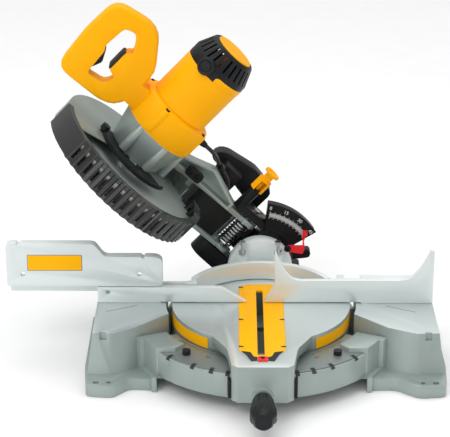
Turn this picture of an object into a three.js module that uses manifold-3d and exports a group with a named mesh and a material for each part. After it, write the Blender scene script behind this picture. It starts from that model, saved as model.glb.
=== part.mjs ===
// Compound mitre saw with a 305 mm blade, head raised and tilted left, left upper fence slid out.
// Millimetres, +Z up, +Y away from the user. The origin is on the mitre axis at bench level,
// and the plane Y = 0 is the working face of the fence.
import * as THREE from 'three';
import { mergeVertices } from 'three/addons/utils/BufferGeometryUtils.js';
import Module from 'manifold-3d';

const wasm = await Module();
wasm.setup();

// Driving dimensions of the whole saw
const TABLE_HEIGHT = 102;
const BLADE_RADIUS = 152.5;
const BLADE_THICKNESS = 2.6;
const TURNTABLE_RADIUS = 164;
const FIT_GAP = 0.3;
const RUNNING_GAP = 0.5;
const CUT_OVERRUN = 2;
const SAME_PLANE = 0.02;
const BEVEL_AT_REST_DEGREES = 46;
const PIVOT = { y: 203, z: 76, shaftRadius: 8 };
const ARM = { length: 290.7, raisedDegrees: 113.3 };
const raised = THREE.MathUtils.degToRad(ARM.raisedDegrees);
const ARBOR = { y: PIVOT.y + ARM.length * Math.cos(raised), z: PIVOT.z + ARM.length * Math.sin(raised) };
const PIVOT_FROM_ARBOR = { y: PIVOT.y - ARBOR.y, z: PIVOT.z - ARBOR.z };

// Castings that stand on the bench
const BASE = {
  outerLeft: 302, outerRight: 316, flareX: 14, flareY: 9, frontY: 128, shoulderInset: 38, frontFall: 2,
  bendX: 226, bendY: 103, innerY: 46, innerRadius: 175, rearY: 30, wall: 6, topSkin: 8, rib: 6,
};
const FOOT = {
  height: 23, frontY: 181, rearY: 110, holeRadius: 4.5, holeX: 272, holeY: 165, slotX: 290, slotLength: 10,
  innerX: 262, stepX: 238, stepY: 149, legX: 192, legY: 152, sideFlare: 17, corner: 9, toe: 6,
};
const RING = {
  outerRadius: 236, innerRadius: 168, bottom: 27, top: 72, wall: 8, deck: 6, halfAngleDegrees: 66,
  padTop: 82, padInnerRadius: 190, legHeight: 40, legWidth: 9, legDepth: 34, sweepRadius: 237.5, sweepDegrees: 62,
  rearWallFrom: 6, rearWallTo: 20,
};
const FLOOR = { bottom: 22, top: 30, radius: 178, hubRadius: 30 };
const SCALE_PLATE = {
  thickness: 1.6, innerRadius: RING.innerRadius + 1, outerRadius: RING.outerRadius - 4, halfAngleDegrees: 57,
};
const DETENT = { degrees: [0, 15, 22.5, 31.6, 45], width: 8, depth: 9, floor: 4 };
const SCALE_SCREW = {
  radius: 4, headRadius: 7.5, headHeight: 8, length: 9, degrees: 41, ringRadius: (RING.innerRadius + RING.outerRadius) / 2 + 2,
};
const PIVOT_PIN = { radius: 9, headRadius: 16, headHeight: 6, length: 33 };

// Turntable with its front arm and its rear trunnion
const TABLE = { skin: 8, rimWall: 6, rimBottom: 33, rib: 5, hubRadius: 24 };
const KERF = {
  halfWidth: 41, thickness: 4.5, rearY: 84, frontY: RING.outerRadius - 40, tipY: RING.outerRadius - 15, tipHalfWidth: 14,
  slotHalfWidth: 6.2, slotShift: -2.5, slotRear: 55, slotFront: RING.outerRadius - 23, undercut: 9,
};
const KERF_SCREW = { radius: 3, insetX: 5, ys: [70, -70, 56 - RING.outerRadius] };
const TROUGH = {
  left: -13, right: 48, rear: 60, front: RING.outerRadius - 20, floor: 48, wall: 5, shelf: 76,
  shelfFront: RING.outerRadius - 58, nose: 88,
};
const FRONT_ARM = {
  rootX: 88, rootY: 139, neckX: 64, neckY: RING.outerRadius - 52, backX: 61, backY: RING.outerRadius - 40,
  frontX: 54, chamferX: 43, frontY: RING.outerRadius + 24, chamfer: 10, bottom: 33, underRing: 84,
  noseBack: RING.outerRadius + 3, notchX: 33, notchY: RING.outerRadius - 10,
};
const KNOB = { z: 44, bossRadius: 20, bossLength: 10, neck: 17, belly: 23.5, end: 15, length: 80, flutes: 10, flute: 2.4 };
const LOCK_ROD = { radius: 6 };
const TRUNNION = { radius: 62, front: 150, back: 176, bottom: 36, boltRadius: 11, boltHead: 17, headPocket: 8, pillarX: 34, pillarHalf: 8, pillarFront: 138 };
const STOP_BOLT = { radius: 3.5, headRadius: 7, headHeight: 6, seatZ: 38, top: 64, nutRadius: 8, nutHeight: 6 };

// Fence
const FENCE = {
  thickness: 10, depth: 28, leftEnd: 301, rightEnd: 316, leftHeight: 31, rightHeight: 45, hornHeight: 107,
  tipLeft: 28, shoulderLeft: 74, tipRight: 6, hornX: 25, hornFoot: 71, hornBend: 36, endHornStart: 251,
  endHornTip: 309, footX: 185, endHornHeight: 104, ledge: 6, rearWall: 5, clearance: 2.1, arcRadius: 145, arcCentre: -30,
  arcWall: 10, arcHeight: 35, arcRootX: 150, notchX: 168, notchHalf: 15, notchDepth: 7, holeX: 282, holeZ: 21,
  holeRadius: 4.5, ribs: 5,
};
const SLIDE = {
  left: 467, right: 181, bottom: 33, top: 117, stepHeight: 92, stepStart: 305, stepEnd: 287, chamfer: 6,
  thickness: 10, lip: 9, tongueLeft: 462, tongueRight: 196, tongueBottom: 18, tongueFront: 12.5, tongueThickness: 7,
  holeLeftX: 437, holeRightX: 223, holeZ: 57, holeRadius: 4.5, corner: 7,
};
const CLAMP_KNOB = { x: 250, z: 21, radius: 17, thickness: 14, lobes: 6, lobe: 2.5, boltRadius: 4, boltLength: 16 };

// Tilting arm behind the trunnion
const TILT = {
  front: 177, back: 224, hubRadius: 64, saddleZ: 46, leftInner: 37, leftOuter: 70, rightInner: 53, rightOuter: 68,
  lugRadius: 24, leftTop: 119, plateRadius: 124, scaleFrom: -14, scaleTo: 37,
  webTop: 84, webThickness: 2.5,
};
const BEVEL_SCALE = { inner: 72, outer: 127, front: 178, thickness: 3 };
const BEVEL_POINTER = { screwX: 52, screwZ: 49, y: 142, bend: 82, tipX: 92, tipZ: 72, width: 12, thickness: 2.5 };
const LOCK_DOWN = {
  y: 190, z: 111, bossRadius: 11, bossEnd: 105, tip: 59, rodRadius: 4, sleeveStart: 103.5, sleeveEnd: 129, sleeveRadius: 14,
  slotWidth: 13, knobRadius: 9, knobEnd: 150, flangeRadius: 16, flange: 5, dish: 3,
};
const SPRING = { meanRadius: 15, wireRadius: 2.1, coils: 8, stepsPerCoil: 8, sides: 5 };
const BEVEL_LEVER = { y: 230, hubRadius: 17, reach: 100, gripRadius: 8, thickness: 12, gripLength: 22 };

// Head: guards, arm, gear case, motor and handle; measured from the arbor, x along it, y back, z up
const UPPER_GUARD = { outer: 159, inner: 156, left: -23, right: 19, wall: 3, fromDegrees: -58, toDegrees: 122 };
const LOWER_GUARD = {
  outer: 163, inner: 160.4, rib: 2.6, left: -28, right: 22, wall: 2.4, lip: 9, fromDegrees: 98, toDegrees: 290,
  ribs: 24, plainDegrees: 36, ringInner: 34.5, ringOuter: 47, windowLeft: -19, windowRight: 12,
};
const GUARD_BOSS = { outer: 34, inner: 27, left: -30 };
const HEAD_ARM = {
  left: -34, leftWall: 8, right: 47, rightWall: 10, earRadius: 22, clearRadius: 168.5, rightStart: 24, web: 7,
  shoulderRight: 56, innerReach: 146, shoulderFoot: [139, -97], shoulder: [[62, -69], [44, -30], [50, 30], [96, 34], [122, -18]],
  knee: [140, -90], waistFront: [82, -161], waistMiddle: [82, -120], waistBack: [150, -165],
};
const FLARE = { front: 62, back: 88, rib: 5, right: [[62, -212], [88, -140], [74, -100], [64, -62]] };
const MOTOR_AXIS = { y: 32, z: 2 };
const GEAR_CASE = { front: 20, back: 82, smallRadius: 56, largeRadius: 69, wall: 5, columns: 3, columnRadius: 8 };
const GUARD_PLATE = { inner: 40, outer: 80, thickness: 3.5, fromDegrees: 75, toDegrees: 240 };
const COLLAR = { front: 82.3, back: 141, radius: 73, mouth: 64, wall: 5, screwDegrees: [72, 160, 245, 335], lugRadius: 9 };
const MOTOR = { front: 141.3, back: 231, radius: 59.5, wall: 3.5, tongue: 12 };
const END_CAP = { back: 286, shoulder: 252, endRadius: 43, wall: 3, slots: 26, slotWidth: 4, discRadius: 38, disc: 2 };
const BRUSH_CAP = { radius: 10, length: 7, x: 243, degrees: [152, -28] };
const HANDLE = { y: 12, halfWidth: 17, round: 6 };
const TRIGGER = { x: 84, z: 181, length: 52, drop: 15, halfWidth: 9, tip: 7 };
const SHAFT = { radius: 12.5, left: -17, right: 74, flangeRadius: 30, flange: 7, screwRadius: 10, screwHead: 9 };
const GEAR = { front: 46, back: 58, teeth: 16, radius: 25, depth: 2.2 };
const BEARING_PLATE = { front: 62, thickness: 12 };
const ARMATURE = { shaft: 6, core: 27, coreFront: 158, coreBack: 214, commutator: 16, pinion: 6.4, front: 44, back: 280 };
const FAN = { front: 146, back: 155, radius: 49, blades: 9, hub: 12 };
const BEARING = { bore: 6.5, width: 9, bossRadius: 13 };
const CHUTE = {
  front: 256, back: 290, wall: 3, corner: 8, neck: { right: 92, y0: 218, z0: 138, z1: 176 },
  outline: [[65, 143], [73, 203], [91, 199], [101, 185], [113, 121], [109, 93], [99, 64], [50, 64]],
};

// Mains lead
const CORD = { radius: 4, sides: 8, dropSteps: 20, tailSteps: 12 };
const LEAD = {
  steps: 30, clipShare: 0.53, gland: { length: 14, radius: 8 }, clip: { outer: 7.8, length: 12 },
  route: [[119, 32, -86.2], [119, 32.1, -92], [118, 35.2, -102.5], [114.4, 44.4, -113], [109.5, 56.7, -122.1],
    [105.4, 66.3, -127.6], [101.1, 75.8, -133], [96.7, 85.3, -139.2], [92.1, 93.4, -146.2], [88.3, 98.6, -154.6],
    [85.2, 102, -164.6], [81.2, 104.8, -174.5], [75.7, 107, -183.5], [68, 108.8, -190.9], [58.3, 109.8, -195.8],
    [47.6, 110, -197]],
};
const COIL = {
  meanRadius: 52, perLayer: 3, turns: 6, stepsPerTurn: 24, sides: 6, x: -10, y: 325, gap: 0.7, lift: 0.5, startDegrees: -20,
  drop: [[8, 278, 88], [26, 268, 48], [38, 262, 16]],
  tail: [[62, 330, 12.6]],
};
const GLAND = { length: 22, radius: 9, collar: 7 };
const PLUG = {
  at: [70, 352, 12], length: 34, width: 28, height: 22, neck: 7, blade: 17, bladeWidth: 6.4, bladeGap: 6.35, bladeThickness: 1.6,
};
const ARM_COVER = { front: [[-14, 29], [-25, 102], [-21, 115]], thickness: 3 };
const BRACKET = { left: 45, right: 66, low: -134, high: -98, thickness: 5, corner: 6 };
const SPINDLE_BUTTON = { y: -8, z: 80, headRadius: 9, headStart: 23.5, headEnd: 34, shankRadius: 4, tip: 12 };

const DEG = Math.PI / 180;

// Small geometry helpers

function paint(color, roughness, metalness) {
  return new THREE.MeshStandardMaterial({ color, roughness, metalness });
}

function clean(geometry) {
  const bare = geometry.clone();
  bare.deleteAttribute('normal');
  bare.deleteAttribute('uv');
  return mergeVertices(bare);
}

function toSolid(geometry) {
  const merged = clean(geometry);
  const vertProperties = new Float32Array(merged.attributes.position.array);
  const triVerts = new Uint32Array(merged.index.array);
  const build = () => new wasm.Manifold(new wasm.Mesh({ numProp: 3, vertProperties, triVerts }));
  const first = build();
  if (first.volume() > 0) return first;
  for (let i = 0; i < triVerts.length; i += 3) {
    [triVerts[i], triVerts[i + 1]] = [triVerts[i + 1], triVerts[i]];
  }
  return build();
}

function fromSolid(solid) {
  const mesh = solid.getMesh();
  const positions = new Float32Array(mesh.numVert * 3);
  for (let i = 0; i < mesh.numVert; i += 1) {
    for (let k = 0; k < 3; k += 1) positions[3 * i + k] = mesh.vertProperties[mesh.numProp * i + k];
  }
  const geometry = new THREE.BufferGeometry();
  geometry.setAttribute('position', new THREE.BufferAttribute(positions, 3));
  geometry.setIndex(new THREE.BufferAttribute(new Uint32Array(mesh.triVerts), 1));
  return geometry;
}

function join(...parts) {
  return fromSolid(parts.flat().map(toSolid).reduce((a, b) => a.add(b)));
}

function cut(body, ...tools) {
  return fromSolid(tools.flat().map(toSolid).reduce((a, b) => a.subtract(b), toSolid(body)));
}

function common(a, b) {
  return fromSolid(toSolid(a).intersect(toSolid(b)));
}

function box(x0, x1, y0, y1, z0, z1) {
  const geometry = new THREE.BoxGeometry(x1 - x0, y1 - y0, z1 - z0);
  return geometry.translate((x0 + x1) / 2, (y0 + y1) / 2, (z0 + z1) / 2);
}

// Directions that an outline's two coordinates and the extrusion take, for each extrusion axis
const FRAMES = {
  x: [[0, 1, 0], [0, 0, 1], [1, 0, 0]],
  y: [[1, 0, 0], [0, 0, 1], [0, 1, 0]],
  z: [[1, 0, 0], [0, 1, 0], [0, 0, 1]],
};

function basis(axis) {
  return new THREE.Matrix4().makeBasis(...FRAMES[axis].map((v) => new THREE.Vector3(...v)));
}

function extrude(points, axis, from, to) {
  const shape = new THREE.Shape(points.map(([u, v]) => new THREE.Vector2(u, v)));
  const geometry = new THREE.ExtrudeGeometry(shape, { depth: to - from, bevelEnabled: false });
  return geometry.translate(0, 0, from).applyMatrix4(basis(axis));
}

function turn(profile, axis, segments, u = 0, v = 0) {
  const geometry = new THREE.LatheGeometry(profile.map(([r, h]) => new THREE.Vector2(r, h)), segments);
  const standing = new THREE.Matrix4().makeBasis(
    new THREE.Vector3(1, 0, 0), new THREE.Vector3(0, 0, 1), new THREE.Vector3(0, -1, 0));
  geometry.applyMatrix4(standing).applyMatrix4(basis(axis));
  const shift = new THREE.Vector3(u, v, 0).applyMatrix4(basis(axis));
  return geometry.translate(shift.x, shift.y, shift.z);
}

function rod(radius, axis, from, to, u = 0, v = 0, segments = 20) {
  return turn([[0, from], [radius, from], [radius, to], [0, to]], axis, segments, u, v);
}

function pipe(outer, inner, axis, from, to, u = 0, v = 0, segments = 32) {
  return turn([[inner, from], [outer, from], [outer, to], [inner, to], [inner, from]], axis, segments, u, v);
}

function arc(u, v, radius, fromDegrees, toDegrees, steps) {
  return Array.from({ length: steps + 1 }, (_, i) => {
    const a = DEG * (fromDegrees + (toDegrees - fromDegrees) * i / steps);
    return [u + radius * Math.cos(a), v + radius * Math.sin(a)];
  });
}

function sector(inner, outer, fromDegrees, toDegrees, steps, u = 0, v = 0) {
  return [...arc(u, v, outer, fromDegrees, toDegrees, steps), ...arc(u, v, inner, toDegrees, fromDegrees, steps)];
}

// Rounds every corner of an outline with a short curve that stays within its two edges
function rounded(points, radius, steps = 2) {
  const out = [];
  points.forEach((p, i) => {
    const a = points[(i + points.length - 1) % points.length];
    const b = points[(i + 1) % points.length];
    const toward = (q) => {
      const d = Math.hypot(q[0] - p[0], q[1] - p[1]);
      const t = Math.min(radius, 0.45 * d) / d;
      return [p[0] + t * (q[0] - p[0]), p[1] + t * (q[1] - p[1])];
    };
    const [s, e] = [toward(a), toward(b)];
    for (let k = 0; k <= steps; k += 1) {
      const t = k / steps;
      out.push([0, 1].map((j) => (1 - t) ** 2 * s[j] + 2 * t * (1 - t) * p[j] + t ** 2 * e[j]));
    }
  });
  return out;
}

// Moves every edge of an outline inward by the same distance
function inset(points, distance) {
  const area = THREE.ShapeUtils.area(points.map(([u, v]) => new THREE.Vector2(u, v)));
  const side = Math.sign(area) * distance;
  const n = points.length;
  const lines = points.map((p, i) => {
    const q = points[(i + 1) % n];
    const length = Math.hypot(q[0] - p[0], q[1] - p[1]);
    const d = [(q[0] - p[0]) / length, (q[1] - p[1]) / length];
    return { p: [p[0] - side * d[1], p[1] + side * d[0]], d };
  });
  return lines.map((line, i) => {
    const before = lines[(i + n - 1) % n];
    const cross = before.d[0] * line.d[1] - before.d[1] * line.d[0];
    if (Math.abs(cross) < 1e-6) return line.p;
    const t = ((line.p[0] - before.p[0]) * line.d[1] - (line.p[1] - before.p[1]) * line.d[0]) / cross;
    return [before.p[0] + t * before.d[0], before.p[1] + t * before.d[1]];
  });
}

// A closed skin over rings that all have the same number of points
function skin(rings) {
  const n = rings[0].length;
  const positions = rings.flat().flat();
  const index = [];
  for (let r = 0; r + 1 < rings.length; r += 1) {
    for (let i = 0; i < n; i += 1) {
      const [a, b] = [r * n + i, r * n + (i + 1) % n];
      index.push(a, b, b + n, a, b + n, a + n);
    }
  }
  const cap = (ring) => {
    const flat = flatten(ring);
    return THREE.ShapeUtils.triangulateShape(flat, []);
  };
  const last = (rings.length - 1) * n;
  for (const [a, b, c] of cap(rings[0])) index.push(a, c, b);
  for (const [a, b, c] of cap(rings[rings.length - 1])) index.push(last + a, last + b, last + c);
  const geometry = new THREE.BufferGeometry();
  geometry.setAttribute('position', new THREE.Float32BufferAttribute(positions, 3));
  geometry.setIndex(index);
  return geometry;
}

// A flat ring's points in its own plane
function flatten(ring) {
  const points = ring.map((p) => new THREE.Vector3(...p));
  const normal = new THREE.Vector3();
  points.forEach((p, i) => {
    const q = points[(i + 1) % points.length];
    normal.add(new THREE.Vector3().crossVectors(p, q));
  });
  normal.normalize();
  const helper = Math.abs(normal.z) < 0.9 ? new THREE.Vector3(0, 0, 1) : new THREE.Vector3(1, 0, 0);
  const u = new THREE.Vector3().crossVectors(helper, normal).normalize();
  const v = new THREE.Vector3().crossVectors(normal, u);
  return points.map((p) => new THREE.Vector2(p.dot(u), p.dot(v)));
}

function loft(lower, z0, upper, z1) {
  return skin([lower.map(([x, y]) => [x, y, z0]), upper.map(([x, y]) => [x, y, z1])]);
}

// A round tube along points, carried without twist
function sweep(points, radius, sides) {
  const path = points.map((p) => new THREE.Vector3(...p));
  const tangent = (i) => new THREE.Vector3().subVectors(
    path[Math.min(i + 1, path.length - 1)], path[Math.max(i - 1, 0)]).normalize();
  let side = new THREE.Vector3(0, 0, 1).cross(tangent(0));
  if (side.lengthSq() < 0.01) side = new THREE.Vector3(1, 0, 0).cross(tangent(0));
  const rings = path.map((p, i) => {
    const t = tangent(i);
    side.addScaledVector(t, -side.dot(t)).normalize();
    const other = new THREE.Vector3().crossVectors(t, side);
    return Array.from({ length: sides }, (_, k) => {
      const a = 2 * Math.PI * k / sides;
      const q = p.clone().addScaledVector(side, radius * Math.cos(a)).addScaledVector(other, radius * Math.sin(a));
      return [q.x, q.y, q.z];
    });
  });
  return skin(rings);
}

// Clear distance between turns of a wound tube, leaving out points that are near along it
function leastGap(points, radius, apart) {
  let least = Infinity;
  points.forEach((p, i) => points.slice(i + Math.ceil(apart)).forEach((q) => {
    least = Math.min(least, Math.hypot(p[0] - q[0], p[1] - q[1], p[2] - q[2]));
  }));
  return (least - 2 * radius).toFixed(2);
}

// A round tube along a smooth curve through the given points
function tube(points, radius, sides, steps) {
  const section = new THREE.Shape(arc(0, 0, radius, 0, 360 - 360 / sides, sides - 1).map(([u, v]) => new THREE.Vector2(u, v)));
  const extrudePath = new THREE.CatmullRomCurve3(points.map((p) => new THREE.Vector3(...p)));
  return new THREE.ExtrudeGeometry(section, { steps, extrudePath });
}

function mirrored(points) {
  return points.map(([u, v]) => [-u, v]).reverse();
}

function turned(geometry, axis, degrees, y = 0, z = 0) {
  const rotate = { x: 'rotateX', y: 'rotateY', z: 'rotateZ' }[axis];
  return geometry.clone().translate(0, -y, -z)[rotate](DEG * degrees).translate(0, y, z);
}

function moved(geometry, x, y, z) {
  return geometry.clone().translate(x, y, z);
}

function hexagon(radius) {
  return arc(0, 0, radius, 0, 300, 5);
}

// Materials, as the photograph shows them
const castPaint = paint(0xaeb3ad, 0.55, 0.35);
const machined = paint(0xd3d8d8, 0.32, 0.7);
const steel = paint(0xbcc0c2, 0.3, 0.9);
const bladeSteel = paint(0x8f938f, 0.35, 0.9);
const yellow = paint(0xf9b21b, 0.45, 0.0);
const blackPlastic = paint(0x1c1e20, 0.5, 0.0);
const blackRubber = paint(0x121314, 0.75, 0.0);
const redPlastic = paint(0xe0231f, 0.4, 0.0);
const smoky = paint(0x3c3c3c, 0.2, 0.1);
const copper = paint(0xb06a3a, 0.4, 0.8);

// Assemblies: the tilting frame turns about Y at table height, and the head is carried at the arbor
const saw = new THREE.Group();
const tiltFrame = new THREE.Group();
tiltFrame.position.z = TABLE_HEIGHT;
tiltFrame.rotation.y = -DEG * BEVEL_AT_REST_DEGREES;
saw.add(tiltFrame);
const head = new THREE.Group();
head.position.set(0, ARBOR.y, ARBOR.z);
tiltFrame.add(head);

function place(name, geometry, material, parent = saw, position = [0, 0, 0]) {
  const flat = fromSolid(toSolid(geometry).asOriginal().simplify(SAME_PLANE)).toNonIndexed();
  flat.computeVertexNormals();
  const mesh = new THREE.Mesh(flat, material);
  mesh.name = name;
  mesh.position.set(...position);
  parent.add(mesh);
  return mesh;
}

// Base casting

function wingOutline(outer, spread) {
  const x = outer + spread * BASE.flareX;
  const y = -(BASE.frontY + spread * BASE.flareY);
  const innerFrom = -Math.asin(BASE.innerY / BASE.innerRadius) / DEG;
  const innerTo = Math.asin(BASE.rearY / BASE.innerRadius) / DEG;
  return [
    [x, BASE.rearY], [x, y + BASE.frontFall], [outer - BASE.shoulderInset, y], [BASE.bendX, -BASE.bendY + y + BASE.frontY],
    ...arc(0, 0, BASE.innerRadius, innerFrom, innerTo, 6),
  ].reverse();
}

function wingShell(outer) {
  const top = wingOutline(outer, 0);
  const bottom = wingOutline(outer, 1);
  return loft(bottom, 0, top, TABLE_HEIGHT);
}

function wingCavity(outer) {
  const grow = (spread) => inset(wingOutline(outer, spread), BASE.wall);
  const cavity = loft(grow(1), -CUT_OVERRUN, grow(0), TABLE_HEIGHT - BASE.topSkin);
  const middleX = (outer + BASE.innerRadius) / 2;
  const middleY = -BASE.innerY;
  const half = BASE.rib / 2;
  return cut(cavity,
    box(middleX - half, middleX + half, -BASE.frontY - outer, outer, 0, TABLE_HEIGHT),
    box(0, 2 * outer, middleY - half, middleY + half, 0, TABLE_HEIGHT));
}

function footPlate(outer) {
  const side = outer + FOOT.sideFlare;
  return extrude(rounded([
    [side - FOOT.toe, -FOOT.frontY + FOOT.toe], [outer - BASE.shoulderInset, -FOOT.frontY],
    [FOOT.stepX, -FOOT.stepY], [FOOT.legX, -FOOT.legY], [FOOT.legX, FOOT.rearY], [side, FOOT.rearY],
    [side, -BASE.bendY],
  ], FOOT.corner), 'z', 0, FOOT.height);
}

function footHoles(outer) {
  const z = [-CUT_OVERRUN, TABLE_HEIGHT - BASE.topSkin];
  const shift = outer - BASE.outerLeft;
  const hole = (y) => rod(FOOT.holeRadius, 'z', z[0], FOOT.height + CUT_OVERRUN, FOOT.holeX + shift, y, 14);
  const slot = box(FOOT.slotX + shift, FOOT.slotX + shift + FOOT.slotLength,
    -FOOT.holeY - FOOT.holeRadius, -FOOT.holeY + FOOT.holeRadius, z[0], FOOT.height + CUT_OVERRUN);
  return [hole(-FOOT.holeY), hole(FOOT.rearY - BASE.shoulderInset), slot];
}

function squareHole(outer) {
  const x = outer - BASE.shoulderInset / 2;
  const half = FOOT.holeRadius + BASE.wall / 4;
  return box(x - half, x + half, -BASE.frontY - half * 2, -BASE.frontY + half,
    TABLE_HEIGHT - BASE.topSkin - half, TABLE_HEIGHT + CUT_OVERRUN);
}

function scaleRing() {
  const half = RING.halfAngleDegrees;
  const steps = 20;
  const at = (inner, outer, z0, z1) => extrude(sector(inner, outer, -90 - half, -90 + half, steps), 'z', z0, z1);
  const walls = [
    at(RING.outerRadius - RING.wall, RING.outerRadius, RING.bottom, RING.top),
    at(RING.innerRadius, RING.outerRadius - CUT_OVERRUN, RING.top - RING.deck, RING.top),
    at(RING.innerRadius, RING.innerRadius + BASE.wall, FLOOR.bottom, RING.top - CUT_OVERRUN),
  ];
  const radial = [-40, 40].map((a) => turned(
    box(-BASE.rib / 2, BASE.rib / 2, -RING.outerRadius + CUT_OVERRUN, -RING.innerRadius - CUT_OVERRUN,
      RING.bottom, RING.top - CUT_OVERRUN), 'z', a));
  return join(walls, radial);
}

// Short rear wall on each side of the well, up to the tabletop's underside
function rearWellWalls() {
  const { rearWallFrom, rearWallTo, innerRadius, padTop } = RING;
  const outline = sector(innerRadius, innerRadius + BASE.wall, rearWallFrom, rearWallTo, 4);
  return [outline, mirrored(outline)].map((points) => extrude(points, 'z', FLOOR.bottom, padTop));
}

function padOutline(gap) {
  const r = RING.padInnerRadius;
  const outline = [...arc(0, 0, r, -25, -43, 3), [FOOT.legX - BASE.shoulderInset, -FOOT.legY + BASE.wall],
    [FOOT.legX + BASE.wall, -FOOT.legY + BASE.wall], [BASE.bendX, -BASE.bendY]];
  return inset(outline, -gap);
}

function ringPad() {
  const pad = extrude(padOutline(0), 'z', RING.bottom - BASE.wall, RING.padTop);
  const leg = box(FOOT.legX - RING.legWidth / 2, FOOT.legX + RING.legWidth / 2,
    -FOOT.legY - BASE.wall, -FOOT.legY + RING.legDepth, 0, RING.legHeight);
  return join(pad, leg);
}

function detentSlots(z0, z1) {
  const signs = DETENT.degrees.flatMap((d) => (d === 0 ? [0] : [d, -d]));
  return signs.map((d) => turned(box(-DETENT.width / 2, DETENT.width / 2, -RING.outerRadius - CUT_OVERRUN,
    -SCALE_PLATE.outerRadius + DETENT.depth, z0, z1), 'z', d));
}

function baseCasting() {
  const right = (g) => g;
  const left = (g) => g.clone().scale(-1, 1, 1);
  const sides = [[BASE.outerRight, right], [BASE.outerLeft, left]];
  const solid = sides.flatMap(([outer, flip]) => [flip(wingShell(outer)), flip(footPlate(outer)), flip(ringPad())]);
  const floor = rod(FLOOR.radius, 'z', FLOOR.bottom, FLOOR.top, 0, 0, 40);
  const hub = rod(FLOOR.hubRadius, 'z', 0, FLOOR.top, 0, 0, 24);
  const crossBar = box(-FOOT.legX - BASE.wall, FOOT.legX + BASE.wall, -BASE.wall, BASE.wall, BASE.wall, FLOOR.bottom + BASE.wall);
  const pinBore = rod(PIVOT_PIN.radius + FIT_GAP, 'z', 0, TABLE_HEIGHT, 0, 0, 24);
  const body = join(solid, scaleRing(), rearWellWalls(), floor, hub, crossBar);
  const holes = sides.flatMap(([outer, flip]) => [
    flip(wingCavity(outer)), ...footHoles(outer).map(flip), flip(squareHole(outer)),
  ]);
  const well = rod(RING.innerRadius, 'z', FLOOR.top, TABLE_HEIGHT + CUT_OVERRUN, 0, 0, 48);
  const headSpace = rod(PIVOT_PIN.headRadius + RUNNING_GAP, 'z', -CUT_OVERRUN, PIVOT_PIN.headHeight + FIT_GAP, 0, 0, 24);
  const { sweepRadius, sweepDegrees, bottom } = RING;
  const armSweep = extrude(sector(sweepRadius, 2 * sweepRadius, -90 - sweepDegrees, -90 + sweepDegrees, 24), 'z',
    bottom + CUT_OVERRUN, RING.padTop + CUT_OVERRUN);
  return cut(body, holes, well, pinBore, headSpace, armSweep, detentSlots(RING.top - DETENT.floor, RING.top + CUT_OVERRUN));
}

function mitreScale() {
  const half = SCALE_PLATE.halfAngleDegrees;
  const z0 = RING.top + FIT_GAP;
  const plate = extrude(sector(SCALE_PLATE.innerRadius, SCALE_PLATE.outerRadius, -90 - half, -90 + half, 22),
    'z', z0, z0 + SCALE_PLATE.thickness);
  const holes = [1, -1].map((s) => turned(rod(SCALE_SCREW.radius + FIT_GAP, 'z', z0 - CUT_OVERRUN,
    z0 + SCALE_PLATE.thickness + CUT_OVERRUN, 0, -SCALE_SCREW.ringRadius, 12), 'z', s * SCALE_SCREW.degrees));
  const pads = [padOutline(RUNNING_GAP), mirrored(padOutline(RUNNING_GAP))].map((outline) => extrude(
    outline, 'z', z0 - CUT_OVERRUN, z0 + SCALE_PLATE.thickness + CUT_OVERRUN));
  return cut(plate, detentSlots(z0 - CUT_OVERRUN, z0 + SCALE_PLATE.thickness + CUT_OVERRUN), holes, pads);
}

function scaleScrew() {
  const seat = RING.top + 2 * FIT_GAP + SCALE_PLATE.thickness;
  return turn([[0, RING.top + FIT_GAP], [SCALE_SCREW.radius, RING.top + FIT_GAP], [SCALE_SCREW.radius, seat],
    [SCALE_SCREW.headRadius, seat], [SCALE_SCREW.headRadius, seat + SCALE_SCREW.headHeight], [0, seat + SCALE_SCREW.headHeight]],
  'z', 14);
}

function pivotPin() {
  const { radius, headRadius, headHeight, length } = PIVOT_PIN;
  return turn([[0, 0], [headRadius, 0], [headRadius, headHeight], [radius, headHeight], [radius, length], [0, length]], 'z', 24);
}

// Turntable

function frontArmOutline(grow) {
  const side = [
    [FRONT_ARM.rootX, -FRONT_ARM.rootY], [FRONT_ARM.neckX + grow, -FRONT_ARM.neckY],
    [FRONT_ARM.backX + grow, -FRONT_ARM.backY], [FRONT_ARM.frontX + grow, -FRONT_ARM.frontY + FRONT_ARM.chamfer],
    [FRONT_ARM.chamferX + grow, -FRONT_ARM.frontY],
  ];
  return [...side, ...mirrored(side)];
}

function frontArm() {
  const top = TABLE_HEIGHT;
  const deck = extrude(frontArmOutline(0), 'z', FRONT_ARM.underRing, top);
  const nose = extrude(frontArmOutline(0), 'z', FRONT_ARM.bottom, top);
  const front = box(-FRONT_ARM.rootX, FRONT_ARM.rootX, -FRONT_ARM.frontY - CUT_OVERRUN, -FRONT_ARM.noseBack, 0, top);
  const boss = rod(KNOB.bossRadius, 'y', -FRONT_ARM.frontY - KNOB.bossLength, -FRONT_ARM.noseBack - CUT_OVERRUN, 0, KNOB.z, 28);
  const bore = rod(LOCK_ROD.radius + RUNNING_GAP, 'y', -FRONT_ARM.frontY - KNOB.bossLength - CUT_OVERRUN,
    -FRONT_ARM.noseBack + CUT_OVERRUN, 0, KNOB.z, 16);
  const hollow = box(-FRONT_ARM.chamferX + BASE.wall, FRONT_ARM.chamferX - BASE.wall,
    -FRONT_ARM.noseBack - BASE.wall, -TROUGH.front - BASE.wall, FRONT_ARM.bottom, top - 2 * BASE.wall);
  const slope = turned(box(-FRONT_ARM.rootX, FRONT_ARM.rootX, -FRONT_ARM.frontY - BASE.shoulderInset,
    -FRONT_ARM.frontY + FRONT_ARM.chamfer, top, top + BASE.shoulderInset), 'x', -24, -FRONT_ARM.frontY + FRONT_ARM.chamfer, top);
  return cut(join(deck, common(nose, front), boss), bore, hollow, slope);
}

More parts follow.
